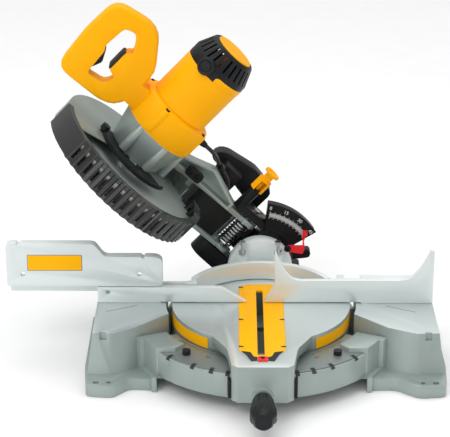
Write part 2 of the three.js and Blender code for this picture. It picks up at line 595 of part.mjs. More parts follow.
function trunnion() {
  const outline = [...arc(0, TABLE_HEIGHT, TRUNNION.radius, 0, 180, 24),
    [-TRUNNION.radius, TRUNNION.bottom], [TRUNNION.radius, TRUNNION.bottom]];
  const dome = extrude(outline, 'y', TRUNNION.front, TRUNNION.back);
  const headPocket = rod(TRUNNION.boltHead + RUNNING_GAP, 'y', TRUNNION.front - CUT_OVERRUN,
    TRUNNION.front + TRUNNION.headPocket, 0, TABLE_HEIGHT, 24);
  const pillars = [1, -1].map((s) => box(s * TRUNNION.pillarX - TRUNNION.pillarHalf,
    s * TRUNNION.pillarX + TRUNNION.pillarHalf, TRUNNION.pillarFront, TRUNNION.front + CUT_OVERRUN,
    TRUNNION.bottom, TABLE_HEIGHT + STOP_BOLT.seatZ));
  const bore = rod(TRUNNION.boltRadius + RUNNING_GAP, 'y', TRUNNION.pillarFront - CUT_OVERRUN,
    TRUNNION.back + CUT_OVERRUN, 0, TABLE_HEIGHT, 24);
  return { solid: [dome, ...pillars], cuts: [headPocket, bore] };
}

function kerfOutline(gap) {
  const right = [
    [KERF.halfWidth + gap, -KERF.frontY], [KERF.halfWidth + gap, KERF.rearY - KERF.halfWidth / 4],
    [KERF.halfWidth / 2, KERF.rearY + gap],
  ];
  const tip = [[-KERF.tipHalfWidth - gap, -KERF.tipY - gap], [KERF.tipHalfWidth + gap, -KERF.tipY - gap]];
  return [...right, ...mirrored(right), ...tip];
}

function turntable() {
  const top = rod(TURNTABLE_RADIUS, 'z', TABLE_HEIGHT - TABLE.skin, TABLE_HEIGHT, 0, 0, 48);
  const rim = pipe(TURNTABLE_RADIUS, TURNTABLE_RADIUS - TABLE.rimWall, 'z', TABLE.rimBottom,
    TABLE_HEIGHT - CUT_OVERRUN, 0, 0, 48);
  const floorZ = TROUGH.floor - TROUGH.wall + BASE.wall / 4;
  const troughBlock = box(TROUGH.left - TROUGH.wall, TROUGH.right + TROUGH.wall, -TROUGH.front - TROUGH.wall,
    TROUGH.rear + TROUGH.wall, floorZ, TABLE_HEIGHT - CUT_OVERRUN);
  const insideRim = rod(TURNTABLE_RADIUS - CUT_OVERRUN, 'z', 0, TABLE_HEIGHT, 0, 0, 48);
  const troughFront = box(TROUGH.left - TROUGH.wall, FRONT_ARM.frontX, -TROUGH.front - TROUGH.wall,
    -TURNTABLE_RADIUS + TABLE.rimWall, FRONT_ARM.underRing, TABLE_HEIGHT - CUT_OVERRUN);
  const ribs = [30, 150, 200, 340].map((a) => common(turned(
    box(TABLE.hubRadius, TURNTABLE_RADIUS - CUT_OVERRUN, -TABLE.rib / 2, TABLE.rib / 2, TABLE_HEIGHT / 2,
      TABLE_HEIGHT - CUT_OVERRUN), 'z', a), insideRim));
  const hub = rod(TABLE.hubRadius, 'z', TABLE.rimBottom - BASE.wall / 3, TROUGH.floor - FIT_GAP, 0, 0, 28);
  const rear = trunnion();
  const body = join(top, rim, common(troughBlock, insideRim), troughFront, ribs, hub, frontArm(), rear.solid);
  const recess = extrude(kerfOutline(FIT_GAP), 'z', TABLE_HEIGHT - KERF.thickness - FIT_GAP, TABLE_HEIGHT + CUT_OVERRUN);
  const trough = box(TROUGH.left, TROUGH.right, -TURNTABLE_RADIUS + TABLE.rimWall, TROUGH.rear,
    TROUGH.floor, TABLE_HEIGHT - KERF.thickness);
  const shelf = box(TROUGH.left, KERF.halfWidth - TABLE.rib, -TROUGH.shelfFront, -TURNTABLE_RADIUS / 2,
    TROUGH.shelf, TABLE_HEIGHT - KERF.thickness);
  const troughNose = box(TROUGH.left, TABLE.hubRadius, -TROUGH.front, -TURNTABLE_RADIUS,
    TROUGH.nose, TABLE_HEIGHT - KERF.thickness);
  const notch = extrude([[FRONT_ARM.notchX, -FRONT_ARM.backY], [KERF.tipHalfWidth + TABLE.rib, -FRONT_ARM.notchY],
    [-KERF.tipHalfWidth - TABLE.rib, -FRONT_ARM.notchY], [-FRONT_ARM.notchX, -FRONT_ARM.backY]],
  'z', TABLE_HEIGHT - KERF.thickness - FIT_GAP, TABLE_HEIGHT + CUT_OVERRUN);
  const pin = rod(PIVOT_PIN.radius + FIT_GAP, 'z', 0, TROUGH.floor + CUT_OVERRUN, 0, 0, 24);
  return cut(body, recess, trough, shelf, troughNose, notch, pin, rear.cuts);
}

function kerfPlate() {
  const z0 = TABLE_HEIGHT - KERF.thickness;
  const plate = extrude(kerfOutline(0), 'z', z0, TABLE_HEIGHT);
  const mid = KERF.slotShift;
  const slot = box(mid - KERF.slotHalfWidth, mid + KERF.slotHalfWidth, -KERF.slotFront, KERF.slotRear,
    z0 - CUT_OVERRUN, TABLE_HEIGHT + CUT_OVERRUN);
  const relief = extrude([[mid, TABLE_HEIGHT - KERF.thickness / 4], [mid + KERF.slotHalfWidth, TABLE_HEIGHT - KERF.thickness / 4],
    [mid + KERF.slotHalfWidth + KERF.undercut, z0 - CUT_OVERRUN], [mid, z0 - CUT_OVERRUN]],
  'y', -KERF.slotFront, KERF.slotRear);
  const screws = KERF_SCREW.ys.flatMap((y) => [1, -1].map((s) => rod(KERF_SCREW.radius, 'z',
    TABLE_HEIGHT - KERF.thickness / 2, TABLE_HEIGHT + CUT_OVERRUN,
    s * (KERF.halfWidth - KERF_SCREW.insetX), y, 10)));
  return cut(plate, slot, relief, screws);
}

function mitrePointer() {
  const z0 = TABLE_HEIGHT - KERF.thickness;
  const half = KERF.tipHalfWidth / 2;
  return extrude(rounded([[half, -KERF.tipY - FIT_GAP * 2], [half + TABLE.rib / 2, -FRONT_ARM.notchY + FIT_GAP * 2],
    [-half - TABLE.rib / 2, -FRONT_ARM.notchY + FIT_GAP * 2], [-half, -KERF.tipY - FIT_GAP * 2]], 1), 'z', z0, TABLE_HEIGHT - FIT_GAP);
}

function detentShoe(side) {
  const front = -FRONT_ARM.frontY + FRONT_ARM.chamfer + FIT_GAP;
  const back = -RING.outerRadius - RUNNING_GAP;
  const lean = (FRONT_ARM.backX - FRONT_ARM.frontX) / (FRONT_ARM.frontY - FRONT_ARM.chamfer - FRONT_ARM.backY);
  const x0 = FRONT_ARM.frontX + 2 * FIT_GAP;
  const x1 = x0 + lean * (back - front);
  const shape = [[x0, front], [x0 + TABLE.rib, front], [x1 + TABLE.rib, back], [x1, back]];
  return extrude(side > 0 ? shape : mirrored(shape), 'z', RING.bottom + 2 * TABLE.rib, RING.top);
}

function mitreKnob() {
  const y0 = FRONT_ARM.frontY + KNOB.bossLength + FIT_GAP;
  const shares = [0, 0.04, 0.16, 0.34, 0.56, 0.78, 0.93, 1];
  const radii = [KNOB.neck - KNOB.flute, KNOB.neck, KNOB.neck + KNOB.flute, (KNOB.neck + KNOB.belly) / 2, KNOB.belly,
    KNOB.belly, KNOB.end + KNOB.flute, KNOB.end];
  const steps = KNOB.flutes * 3;
  const rings = shares.map((share, i) => Array.from({ length: steps }, (_, k) => {
    const a = 2 * Math.PI * k / steps;
    const fluted = share > 0.1 && share < 0.9 ? KNOB.flute * Math.max(0, Math.cos(KNOB.flutes * a)) : 0;
    const r = radii[i] - fluted;
    return [r * Math.cos(a), -y0 - share * KNOB.length, KNOB.z + r * Math.sin(a)];
  }));
  const bore = rod(LOCK_ROD.radius + FIT_GAP, 'y', -y0 - KNOB.length / 3, -y0 + CUT_OVERRUN, 0, KNOB.z, 14);
  return cut(skin(rings), bore);
}

function lockRod() {
  return rod(LOCK_ROD.radius, 'y', -FRONT_ARM.frontY - KNOB.bossLength - KNOB.length / 4, -FRONT_ARM.noseBack + RUNNING_GAP,
    0, KNOB.z, 14);
}

function stopBolt() {
  const z = TABLE_HEIGHT + STOP_BOLT.seatZ + FIT_GAP;
  const top = TABLE_HEIGHT + STOP_BOLT.top;
  const y = (TRUNNION.pillarFront + TRUNNION.front) / 2 - BASE.wall / 3;
  const profile = [[0, z], [STOP_BOLT.nutRadius, z], [STOP_BOLT.nutRadius, z + STOP_BOLT.nutHeight],
    [STOP_BOLT.radius, z + STOP_BOLT.nutHeight], [STOP_BOLT.radius, top - STOP_BOLT.headHeight],
    [STOP_BOLT.headRadius, top - STOP_BOLT.headHeight], [STOP_BOLT.headRadius, top], [0, top]];
  return turn(profile, 'z', 6, 0, y - BASE.wall / 3);
}

function bevelPivotBolt() {
  const { boltRadius, boltHead, headPocket, front } = TRUNNION;
  const seat = front + headPocket - FIT_GAP;
  const end = BEVEL_LEVER.y + BEVEL_LEVER.thickness;
  return turn([[0, front], [boltHead, front], [boltHead, seat], [boltRadius, seat], [boltRadius, end], [0, end]],
    'y', 24, 0, TABLE_HEIGHT);
}

function bevelLever() {
  const { hubRadius, reach, gripRadius, thickness, gripLength, y } = BEVEL_LEVER;
  const plate = extrude(rounded([[-hubRadius, -hubRadius], [hubRadius, -hubRadius], [reach, -gripRadius],
    [reach, gripRadius], [hubRadius, hubRadius], [-hubRadius, hubRadius]], gripRadius), 'y', y, y + thickness);
  const bar = extrude(arc(0, 0, gripRadius, 0, 330, 11), 'y', y, y + gripLength);
  const grip = moved(bar, reach - gripRadius, 0, 0);
  const bore = rod(TRUNNION.boltRadius + FIT_GAP, 'y', y - CUT_OVERRUN, y + thickness + CUT_OVERRUN, 0, 0, 24);
  return cut(join(plate, grip), bore);
}

function bevelPointer() {
  const { screwX, screwZ, bend, tipX, tipZ, width, thickness, y } = BEVEL_POINTER;
  const half = width / 2;
  const foot = extrude(rounded([[screwX - half, screwZ - half], [bend, screwZ - width], [bend + thickness, screwZ + half],
    [screwX, screwZ + half]], 3), 'y', y, y + thickness);
  const arm = box(bend, bend + thickness, y, BEVEL_SCALE.front - RUNNING_GAP, screwZ - half, screwZ + half);
  const tip = extrude([[bend, screwZ], [bend + thickness, screwZ], [tipX, tipZ], [bend, tipZ]],
    'y', BEVEL_SCALE.front - RUNNING_GAP - thickness, BEVEL_SCALE.front - RUNNING_GAP);
  return moved(join(foot, arm, tip), 0, 0, TABLE_HEIGHT);
}

// Fence

function fenceProfileLeft() {
  return [[-FENCE.leftEnd, FENCE.clearance], [-FENCE.tipLeft, FENCE.clearance], [-FENCE.shoulderLeft, FENCE.leftHeight],
    [-FENCE.leftEnd, FENCE.leftHeight]];
}

function fenceProfileRight() {
  const horn = FENCE.hornHeight - FENCE.rightHeight;
  const sweep = FENCE.hornFoot - FENCE.hornX;
  const hornCurve = [0.04, 0.12, 0.26, 0.45, 0.7, 1].map((s) => [
    FENCE.hornX + s * sweep, FENCE.rightHeight + horn * (1 - s) ** 2.4]);
  const endHorn = FENCE.endHornHeight - FENCE.rightHeight;
  const endSweep = FENCE.endHornTip - FENCE.endHornStart;
  const endCurve = [0, 0.3, 0.5, 0.66, 0.8, 0.92, 1].map((s) => [
    FENCE.endHornStart + s * endSweep, FENCE.rightHeight + endHorn * s ** 2.6]);
  return [[FENCE.tipRight, FENCE.clearance], [FENCE.rightEnd, FENCE.clearance], [FENCE.rightEnd, FENCE.endHornHeight],
    ...endCurve.reverse(), ...hornCurve.reverse(), [FENCE.hornX, FENCE.hornHeight], [FENCE.hornX, FENCE.hornBend],
    [(FENCE.hornX + FENCE.tipRight) / 2, FENCE.hornBend / 2]];
}

function fenceBack(x0, x1, height, ribbed) {
  const { depth, ledge, rearWall, thickness, clearance } = FENCE;
  const solid = box(x0, x1, thickness - CUT_OVERRUN, depth, clearance, height);
  const pitch = (x1 - x0) / FENCE.ribs;
  const pockets = Array.from({ length: FENCE.ribs }, (_, i) => box(x0 + i * pitch + rearWall / 2,
    x0 + (i + 1) * pitch - rearWall / 2, thickness, depth + CUT_OVERRUN, ledge + clearance, height - ledge));
  return cut(solid, ribbed ? pockets : []);
}

function fenceBridge() {
  const { arcRadius, arcCentre, arcWall, arcHeight, clearance, arcRootX, depth } = FENCE;
  const reach = Math.asin(arcRootX * 0.86 / arcRadius) / DEG;
  const wall = extrude(sector(arcRadius - arcWall, arcRadius, 90 - reach, 90 + reach, 26, 0, arcCentre),
    'z', clearance, arcHeight);
  const rootY = arcCentre + arcRadius * Math.cos(DEG * reach);
  const inner = arcRootX * 0.86 * (arcRadius - arcWall) / arcRadius;
  const root = (s) => extrude([[s * inner, rootY - CUT_OVERRUN], [s * (arcRootX * 0.86 + 1), rootY],
    [s * (arcRootX + arcWall), depth - CUT_OVERRUN], [s * (arcRootX + arcWall), 0], [s * inner, 0]], 'z', clearance, arcHeight - FENCE.ledge);
  return join(wall, root(1), root(-1));
}

function fenceCasting() {
  const left = extrude(fenceProfileLeft(), 'y', 0, FENCE.thickness);
  const right = extrude(fenceProfileRight(), 'y', 0, FENCE.thickness);
  const backLeft = fenceBack(-FENCE.leftEnd, -FENCE.arcRootX + FENCE.arcWall, FENCE.leftHeight, false);
  const backRight = fenceBack(FENCE.arcRootX - FENCE.arcWall, FENCE.rightEnd, FENCE.rightHeight, true);
  const notch = box(FENCE.notchX - FENCE.notchHalf, FENCE.notchX + FENCE.notchHalf, FENCE.thickness + CUT_OVERRUN,
    FENCE.depth + CUT_OVERRUN, FENCE.rightHeight - FENCE.notchDepth, FENCE.rightHeight + CUT_OVERRUN);
  const hole = rod(FENCE.holeRadius, 'y', -CUT_OVERRUN, FENCE.thickness + CUT_OVERRUN / 2, -FENCE.holeX, FENCE.holeZ, 16);
  const clampBore = rod(CLAMP_KNOB.boltRadius + FIT_GAP, 'y', FENCE.depth - FENCE.rearWall - CUT_OVERRUN * 4,
    FENCE.depth + CUT_OVERRUN, -CLAMP_KNOB.x, CLAMP_KNOB.z, 12);
  const feet = [[-FENCE.leftEnd, -FENCE.footX], [FENCE.footX, FENCE.rightEnd]].map(([x0, x1]) => box(
    x0, x1, 0, FENCE.thickness, FIT_GAP, 2 * FENCE.clearance));
  const groove = box(-FENCE.leftEnd - CUT_OVERRUN, -FENCE.shoulderLeft, SLIDE.tongueFront - RUNNING_GAP,
    SLIDE.tongueFront + SLIDE.tongueThickness + RUNNING_GAP, SLIDE.tongueBottom - RUNNING_GAP, FENCE.arcHeight + CUT_OVERRUN);
  return cut(join(left, right, backLeft, backRight, fenceBridge(), feet), notch, hole, clampBore, groove);
}

function slidingFence() {
  const { left, right, bottom, top, stepHeight, stepStart, stepEnd, chamfer, thickness, lip, corner } = SLIDE;
  const outline = rounded([[-left, bottom], [-right, bottom], [-right, stepHeight - chamfer], [-right - 2 * chamfer, stepHeight],
    [-stepEnd, stepHeight], [-stepStart, top], [-left, top]], corner);
  const plate = extrude(outline, 'y', 0, thickness);
  const inner = inset([[-left, bottom], [-right, bottom], [-right, stepHeight], [-stepEnd, stepHeight],
    [-stepStart, top], [-left, top]], BASE.wall);
  const lower = extrude(inner, 'y', thickness - BASE.wall + 1, thickness + lip + CUT_OVERRUN);
  const lipBody = extrude(outline, 'y', thickness - CUT_OVERRUN, thickness + lip);
  const tongue = box(-SLIDE.tongueLeft, -SLIDE.tongueRight, SLIDE.tongueFront, SLIDE.tongueFront + SLIDE.tongueThickness,
    SLIDE.tongueBottom, bottom + CUT_OVERRUN);
  const holes = [SLIDE.holeLeftX, SLIDE.holeRightX].map((x) => rod(SLIDE.holeRadius, 'y', -CUT_OVERRUN,
    thickness + CUT_OVERRUN, -x, SLIDE.holeZ, 14));
  const notches = [[SLIDE.holeLeftX + corner, top], [SLIDE.holeRightX - corner, stepHeight]].map(([x, z]) => rod(
    corner / 2, 'y', -CUT_OVERRUN, thickness + lip + CUT_OVERRUN, -x, z, 12));
  return cut(join(plate, cut(lipBody, lower), tongue), holes, notches);
}

function clampKnob() {
  const y0 = FENCE.depth + FIT_GAP;
  const { radius, thickness, lobes, lobe, boltRadius, boltLength, x, z } = CLAMP_KNOB;
  const outline = Array.from({ length: lobes * 6 }, (_, i) => {
    const a = 2 * Math.PI * i / (lobes * 6);
    const r = radius - lobe + lobe * Math.cos(lobes * a);
    return [r * Math.cos(a), r * Math.sin(a)];
  });
  const grip = extrude(outline, 'y', y0, y0 + thickness);
  const seat = SLIDE.tongueFront + SLIDE.tongueThickness + FIT_GAP;
  const bolt = rod(boltRadius, 'y', Math.max(seat, y0 - boltLength), y0 + CUT_OVERRUN, 0, 0, 12);
  return moved(join(grip, bolt), -x, 0, z + TABLE_HEIGHT);
}

// Tilting arm: hub, two lugs that hold the chop pivot, lock-down boss and the scale's flange

function tiltOutline() {
  const lowRight = arc(0, 0, TILT.hubRadius, -180, 0, 16);
  const lug = (x) => x;
  return [...lowRight,
    [lug(TILT.rightOuter), TILT.hubRadius / 4], [TILT.rightOuter, TILT.saddleZ],
    [TILT.rightInner, TILT.saddleZ], [-TILT.leftInner, TILT.saddleZ],
    [-TILT.leftOuter, TILT.saddleZ], [-TILT.leftOuter, TILT.hubRadius / 4]];
}

function lugProfile(top) {
  const { lugRadius } = TILT;
  return [...arc(PIVOT.y, PIVOT.z, lugRadius, 0, 180, 14), [PIVOT.y - lugRadius, top], [PIVOT.y + lugRadius, top]];
}

function tiltArm() {
  const hub = extrude(tiltOutline(), 'y', TILT.front, TILT.back);
  const lug = (x0, x1) => extrude(lugProfile(TILT.saddleZ - CUT_OVERRUN), 'x', x0, x1);
  const leftCover = extrude([...arc(PIVOT.y, TILT.leftTop - TILT.lugRadius, TILT.lugRadius, 0, 180, 12),
    [PIVOT.y - TILT.lugRadius, TILT.saddleZ - CUT_OVERRUN], [PIVOT.y + TILT.lugRadius, TILT.saddleZ - CUT_OVERRUN]],
  'x', -TILT.leftOuter, -TILT.leftInner);
  const flange = extrude(sector(TILT.hubRadius - CUT_OVERRUN, TILT.plateRadius, TILT.scaleFrom, TILT.scaleTo, 12), 'y',
    BEVEL_SCALE.front + BEVEL_SCALE.thickness + FIT_GAP, TILT.back - BASE.shoulderInset / 2);
  const web = box(TILT.rightInner, TILT.rightOuter, LOCK_DOWN.y - LOCK_DOWN.bossRadius, LOCK_DOWN.y + 2 * LOCK_DOWN.bossRadius,
    TILT.saddleZ, LOCK_DOWN.z);
  const boss = rod(LOCK_DOWN.bossRadius, 'x', TILT.rightInner, LOCK_DOWN.bossEnd, LOCK_DOWN.y, LOCK_DOWN.z, 22);
  const pinBore = rod(LOCK_DOWN.rodRadius + FIT_GAP, 'x', TILT.rightInner - CUT_OVERRUN, LOCK_DOWN.bossEnd + CUT_OVERRUN,
    LOCK_DOWN.y, LOCK_DOWN.z, 14);
  const shaftBore = rod(PIVOT.shaftRadius + FIT_GAP, 'x', -TILT.leftOuter + BASE.wall, TILT.rightOuter + CUT_OVERRUN,
    PIVOT.y, PIVOT.z, 20);
  const boltBore = rod(TRUNNION.boltRadius + RUNNING_GAP, 'y', TILT.front - CUT_OVERRUN, TILT.back + CUT_OVERRUN, 0, 0, 24);
  const saddle = rod(HEAD_ARM.earRadius + CUT_OVERRUN * 2, 'x', -TILT.leftInner, TILT.rightInner, PIVOT.y, PIVOT.z, 24);
  const scaleSeat = extrude(sector(BEVEL_SCALE.inner - RUNNING_GAP, BEVEL_SCALE.outer + CUT_OVERRUN, TILT.scaleFrom - CUT_OVERRUN,
    TILT.scaleTo + CUT_OVERRUN, 12), 'y', TILT.front - CUT_OVERRUN, BEVEL_SCALE.front + BEVEL_SCALE.thickness + FIT_GAP);
  const backWeb = box(HEAD_ARM.left + HEAD_ARM.leftWall + CUT_OVERRUN, HEAD_ARM.right - HEAD_ARM.rightWall - CUT_OVERRUN,
    TILT.back - TILT.webThickness, TILT.back, TILT.saddleZ - CUT_OVERRUN, TILT.webTop);
  const arm = cut(join(hub, lug(TILT.rightInner, TILT.rightOuter), leftCover, flange, web, boss),
    pinBore, shaftBore, boltBore, saddle, scaleSeat);
  return join(arm, backWeb);
}

function bevelScale() {
  return extrude(sector(BEVEL_SCALE.inner, BEVEL_SCALE.outer, TILT.scaleFrom, TILT.scaleTo, 14), 'y',
    BEVEL_SCALE.front, BEVEL_SCALE.front + BEVEL_SCALE.thickness);
}

function pivotShaft() {
  return rod(PIVOT.shaftRadius, 'x', -TILT.leftOuter + BASE.wall + FIT_GAP, TILT.rightOuter + BASE.wall / 2, PIVOT.y, PIVOT.z, 20);
}

function lockDownPin() {
  const pin = LOCK_DOWN;
  const { y, z, flange, dish } = pin;
  const core = turn([[0, pin.tip], [pin.rodRadius, pin.tip], [pin.rodRadius, pin.sleeveEnd], [pin.knobRadius, pin.sleeveEnd],
    [pin.knobRadius, pin.knobEnd - flange], [pin.flangeRadius, pin.knobEnd - flange], [pin.flangeRadius, pin.knobEnd],
    [pin.flangeRadius - flange, pin.knobEnd], [pin.knobRadius, pin.knobEnd - dish], [0, pin.knobEnd - dish]], 'x', 16, y, z);
  const wall = BASE.wall / 3;
  const inner = pin.bossRadius + RUNNING_GAP;
  const sleeve = turn([[inner, pin.sleeveStart], [pin.sleeveRadius, pin.sleeveStart], [pin.sleeveRadius, pin.sleeveEnd + wall],
    [0, pin.sleeveEnd + wall], [0, pin.sleeveEnd], [inner, pin.sleeveEnd], [inner, pin.sleeveStart]], 'x', 16, y, z);
  const slot = box(pin.sleeveStart - CUT_OVERRUN, pin.sleeveEnd - wall, y - 2 * pin.sleeveRadius, y + 2 * pin.sleeveRadius,
    z - pin.slotWidth / 2, z + pin.slotWidth / 2);
  return join(core, cut(sleeve, slot));
}

function returnSpring() {
  const { meanRadius, wireRadius, coils, stepsPerCoil, sides } = SPRING;
  const leftEnd = HEAD_ARM.left + HEAD_ARM.leftWall + FIT_GAP;
  const rightEnd = HEAD_ARM.right - HEAD_ARM.rightWall - FIT_GAP;
  const straight = 2 * wireRadius;
  const steps = coils * stepsPerCoil;
  const length = rightEnd - leftEnd - 2 * straight;
  const points = Array.from({ length: steps + 1 }, (_, i) => {
    const a = 2 * Math.PI * i / stepsPerCoil;
    return [leftEnd + straight + length * i / steps, PIVOT.y + meanRadius * Math.cos(a), PIVOT.z + meanRadius * Math.sin(a)];
  });
  const [first, last] = [points[0], points[steps]];
  console.log('least gap between spring curls, mm', leastGap(points, wireRadius, stepsPerCoil / 2));
  return sweep([[leftEnd, first[1], first[2]], ...points, [rightEnd, last[1], last[2]]], wireRadius, sides);
}

// Head casting: upper guard drum and the arm down to the chop pivot

function upperGuard() {
  const { outer, inner, left, right, wall, fromDegrees, toDegrees } = UPPER_GUARD;
  const rim = extrude(sector(inner, outer, fromDegrees, toDegrees, 24), 'x', left, right);
  const leftWall = extrude(sector(GUARD_BOSS.inner + wall, outer, fromDegrees, toDegrees, 24), 'x', left, left + wall);
  const rightWall = extrude(sector(SHAFT.radius + wall, outer, -36, toDegrees, 22), 'x', right - wall, right);
  const boss = pipe(GUARD_BOSS.outer, GUARD_BOSS.inner, 'x', GUARD_BOSS.left, left + wall, 0, 0, 32);
  return [rim, leftWall, rightWall, boss];
}

// A point of the arm given from its pivot
const fromPivot = ([y, z]) => [PIVOT_FROM_ARBOR.y + y, PIVOT_FROM_ARBOR.z + z];

function armSide() {
  const { earRadius, waistFront, waistBack, shoulder, knee } = HEAD_ARM;
  return [fromPivot([-earRadius, earRadius / 2]), waistFront, ...shoulder, knee, waistBack,
    fromPivot([earRadius, earRadius / 2])];
}

function armMiddle() {
  const { earRadius, waistFront, waistMiddle, waistBack, knee } = HEAD_ARM;
  return [fromPivot([-earRadius, earRadius / 2]), waistFront, waistMiddle, knee, waistBack,
    fromPivot([earRadius, earRadius / 2])];
}

// The wing that widens the arm toward the gear case, with a pocket in its front
function armFlare() {
  const { front, back, right, rib } = FLARE;
  const root = HEAD_ARM.right - CUT_OVERRUN;
  const outline = [[root, right[0][1]], ...right, [root, right[right.length - 1][1]]];
  return cut(extrude(outline, 'y', front, back), extrude(inset(outline, rib), 'y', front - CUT_OVERRUN, back - rib));
}

function headArm() {
  const { left, leftWall, right, rightWall, earRadius, clearRadius, rightStart, web, shoulderRight, innerReach } = HEAD_ARM;
  const p = PIVOT_FROM_ARBOR;
  const ear = (x0, x1) => rod(earRadius, 'x', x0, x1, p.y, p.z, 24);
  const rightSide = extrude(armSide(), 'x', right - rightWall, right);
  const middle = extrude(armMiddle(), 'x', left, right);
  const clear = rod(clearRadius, 'x', left - CUT_OVERRUN, rightStart, 0, 0, 48);
  const channel = extrude(inset(armMiddle(), web).map(([y, z]) => [y - web - CUT_OVERRUN, z - web]), 'x', left + leftWall, right - rightWall);
  const pocketEnd = rod(earRadius + CUT_OVERRUN, 'x', left + leftWall, right - rightWall, p.y, p.z, 24);
  const outline = [...HEAD_ARM.shoulder, HEAD_ARM.shoulderFoot];
  const shoulder = extrude(outline, 'x', rightStart, shoulderRight);
  const root = common(extrude(outline, 'x', UPPER_GUARD.right - CUT_OVERRUN, right), rod(innerReach, 'x', 0, right, 0, 0, 48));
  const body = join(cut(middle, clear, channel), rightSide, shoulder, root, armFlare(),
    ear(left, left + leftWall), ear(right - rightWall, right));
  const bore = rod(PIVOT.shaftRadius + FIT_GAP, 'x', left - CUT_OVERRUN, right + CUT_OVERRUN, p.y, p.z, 20);
  return { body, cuts: [bore, pocketEnd] };
}

function gearCaseSpace() {
  const { front, back, smallRadius, largeRadius, wall } = GEAR_CASE;
  const grow = 2 * RUNNING_GAP;
  return turn([[0, front - FIT_GAP], [smallRadius + grow, front - FIT_GAP], [largeRadius + grow, back - wall],
    [largeRadius + grow, back + wall], [0, back + wall]], 'x', 32, MOTOR_AXIS.y, MOTOR_AXIS.z);
}

function headCasting() {
  const arm = headArm();
  const clearBlade = rod(UPPER_GUARD.inner, 'x', UPPER_GUARD.left + UPPER_GUARD.wall, UPPER_GUARD.right - UPPER_GUARD.wall, 0, 0, 48);
  const shaftBore = rod(SHAFT.radius + 2 * UPPER_GUARD.wall, 'x', 0, UPPER_GUARD.right + CUT_OVERRUN, 0, 0, 24);
  const { y, z, shankRadius, tip, headStart } = SPINDLE_BUTTON;
  const buttonBore = rod(shankRadius + FIT_GAP, 'x', tip, headStart, y, z, 12);
  return cut(join(upperGuard(), cut(arm.body, gearCaseSpace())), arm.cuts, clearBlade, shaftBore, buttonBore);
}

// Lower guard: a clear ribbed drum round the rim of the blade, open on its right side but for a lip

function lowerGuard() {
  const g = LOWER_GUARD;
  const span = g.toDegrees - g.fromDegrees;
  const pitch = (span - g.plainDegrees) / g.ribs;
  const outerArc = arc(0, 0, g.outer, g.fromDegrees, g.fromDegrees + g.plainDegrees, 5);
  for (let i = 0; i < g.ribs; i += 1) {
    const a = g.fromDegrees + g.plainDegrees + i * pitch;
    outerArc.push(...arc(0, 0, g.outer + g.rib, a + 0.12 * pitch, a + 0.5 * pitch, 1));
    outerArc.push(...arc(0, 0, g.outer, a + 0.62 * pitch, a + pitch, 1));
  }
  const outline = [...outerArc, ...arc(0, 0, g.inner, g.toDegrees, g.fromDegrees, 32)];
  const rim = extrude(outline, 'x', g.left, g.right);
  const windows = Array.from({ length: g.ribs }, (_, i) => {
    const a = g.fromDegrees + g.plainDegrees + (i + 0.81) * pitch;
    return turned(box(g.windowLeft, g.windowRight, g.inner - CUT_OVERRUN, g.outer + g.rib + CUT_OVERRUN,
      -pitch * DEG * g.outer * 0.15, pitch * DEG * g.outer * 0.15), 'x', a);
  });
  const leftWall = extrude(sector(g.ringInner, g.outer - g.wall / 2, g.fromDegrees, g.toDegrees, 32), 'x', g.left, g.left + g.wall);
  const ring = pipe(g.ringOuter, g.ringInner, 'x', g.left, g.left + g.wall, 0, 0, 36);
  const lip = extrude(sector(g.inner - g.lip, g.inner + g.wall / 2, g.fromDegrees, g.toDegrees, 32), 'x', g.right - g.wall, g.right);
  return join(cut(rim, windows), leftWall, ring, lip);
}

// Blade and what turns with it

function sawBlade() {
  const teeth = 40;
  const outline = [];
  for (let i = 0; i < teeth; i += 1) {
    const a = 360 * i / teeth;
    outline.push(...arc(0, 0, BLADE_RADIUS, a, a + 2, 1));
    outline.push(...arc(0, 0, BLADE_RADIUS - 8, a + 3.4, a + 4, 1).slice(1));
  }
  const half = BLADE_THICKNESS / 2;
  const plate = extrude(outline, 'x', -half, half);
  const bore = rod(SHAFT.radius + FIT_GAP, 'x', -CUT_OVERRUN, CUT_OVERRUN, 0, 0, 24);
  const slots = [45, 135, 225, 315].map((a) => turned(box(-CUT_OVERRUN, CUT_OVERRUN,
    BLADE_RADIUS * 0.72, BLADE_RADIUS * 0.86, -1.1, 1.1), 'x', a));
  return cut(plate, bore, slots);
}

function bladeFlange(side) {
  const from = BLADE_THICKNESS / 2 + FIT_GAP;
  const h = side > 0 ? [from, from + SHAFT.flange] : [-from - SHAFT.flange, -from];
  return pipe(SHAFT.flangeRadius, SHAFT.radius + FIT_GAP, 'x', h[0], h[1], 0, 0, 20);
}

function arborShaft() {
  const { radius, left, right } = SHAFT;
  const small = BEARING.bore;
  return turn([[0, left + radius / 2], [radius, left + radius / 2], [radius, BEARING_PLATE.front - radius / 3],
    [small, BEARING_PLATE.front - radius / 3], [small, right - radius / 3], [0, right - radius / 3]], 'x', 24);
}

function arborScrew() {
  const { left, screwRadius, screwHead, radius } = SHAFT;
  const x = left + radius / 2 - FIT_GAP;
  return extrude(hexagon(screwRadius), 'x', x - screwHead, x);
}

function drivenGear() {
  const { front, back, teeth, radius, depth } = GEAR;
  const outline = Array.from({ length: teeth * 4 }, (_, i) => {
    const a = 2 * Math.PI * i / (teeth * 4);
    const r = i % 4 < 2 ? radius : radius - depth;
    return [r * Math.cos(a), r * Math.sin(a)];
  });
  return cut(extrude(outline, 'x', front, back),
    rod(SHAFT.radius + FIT_GAP, 'x', front - CUT_OVERRUN, back + CUT_OVERRUN, 0, 0, 24));
}

// Gear case and motor

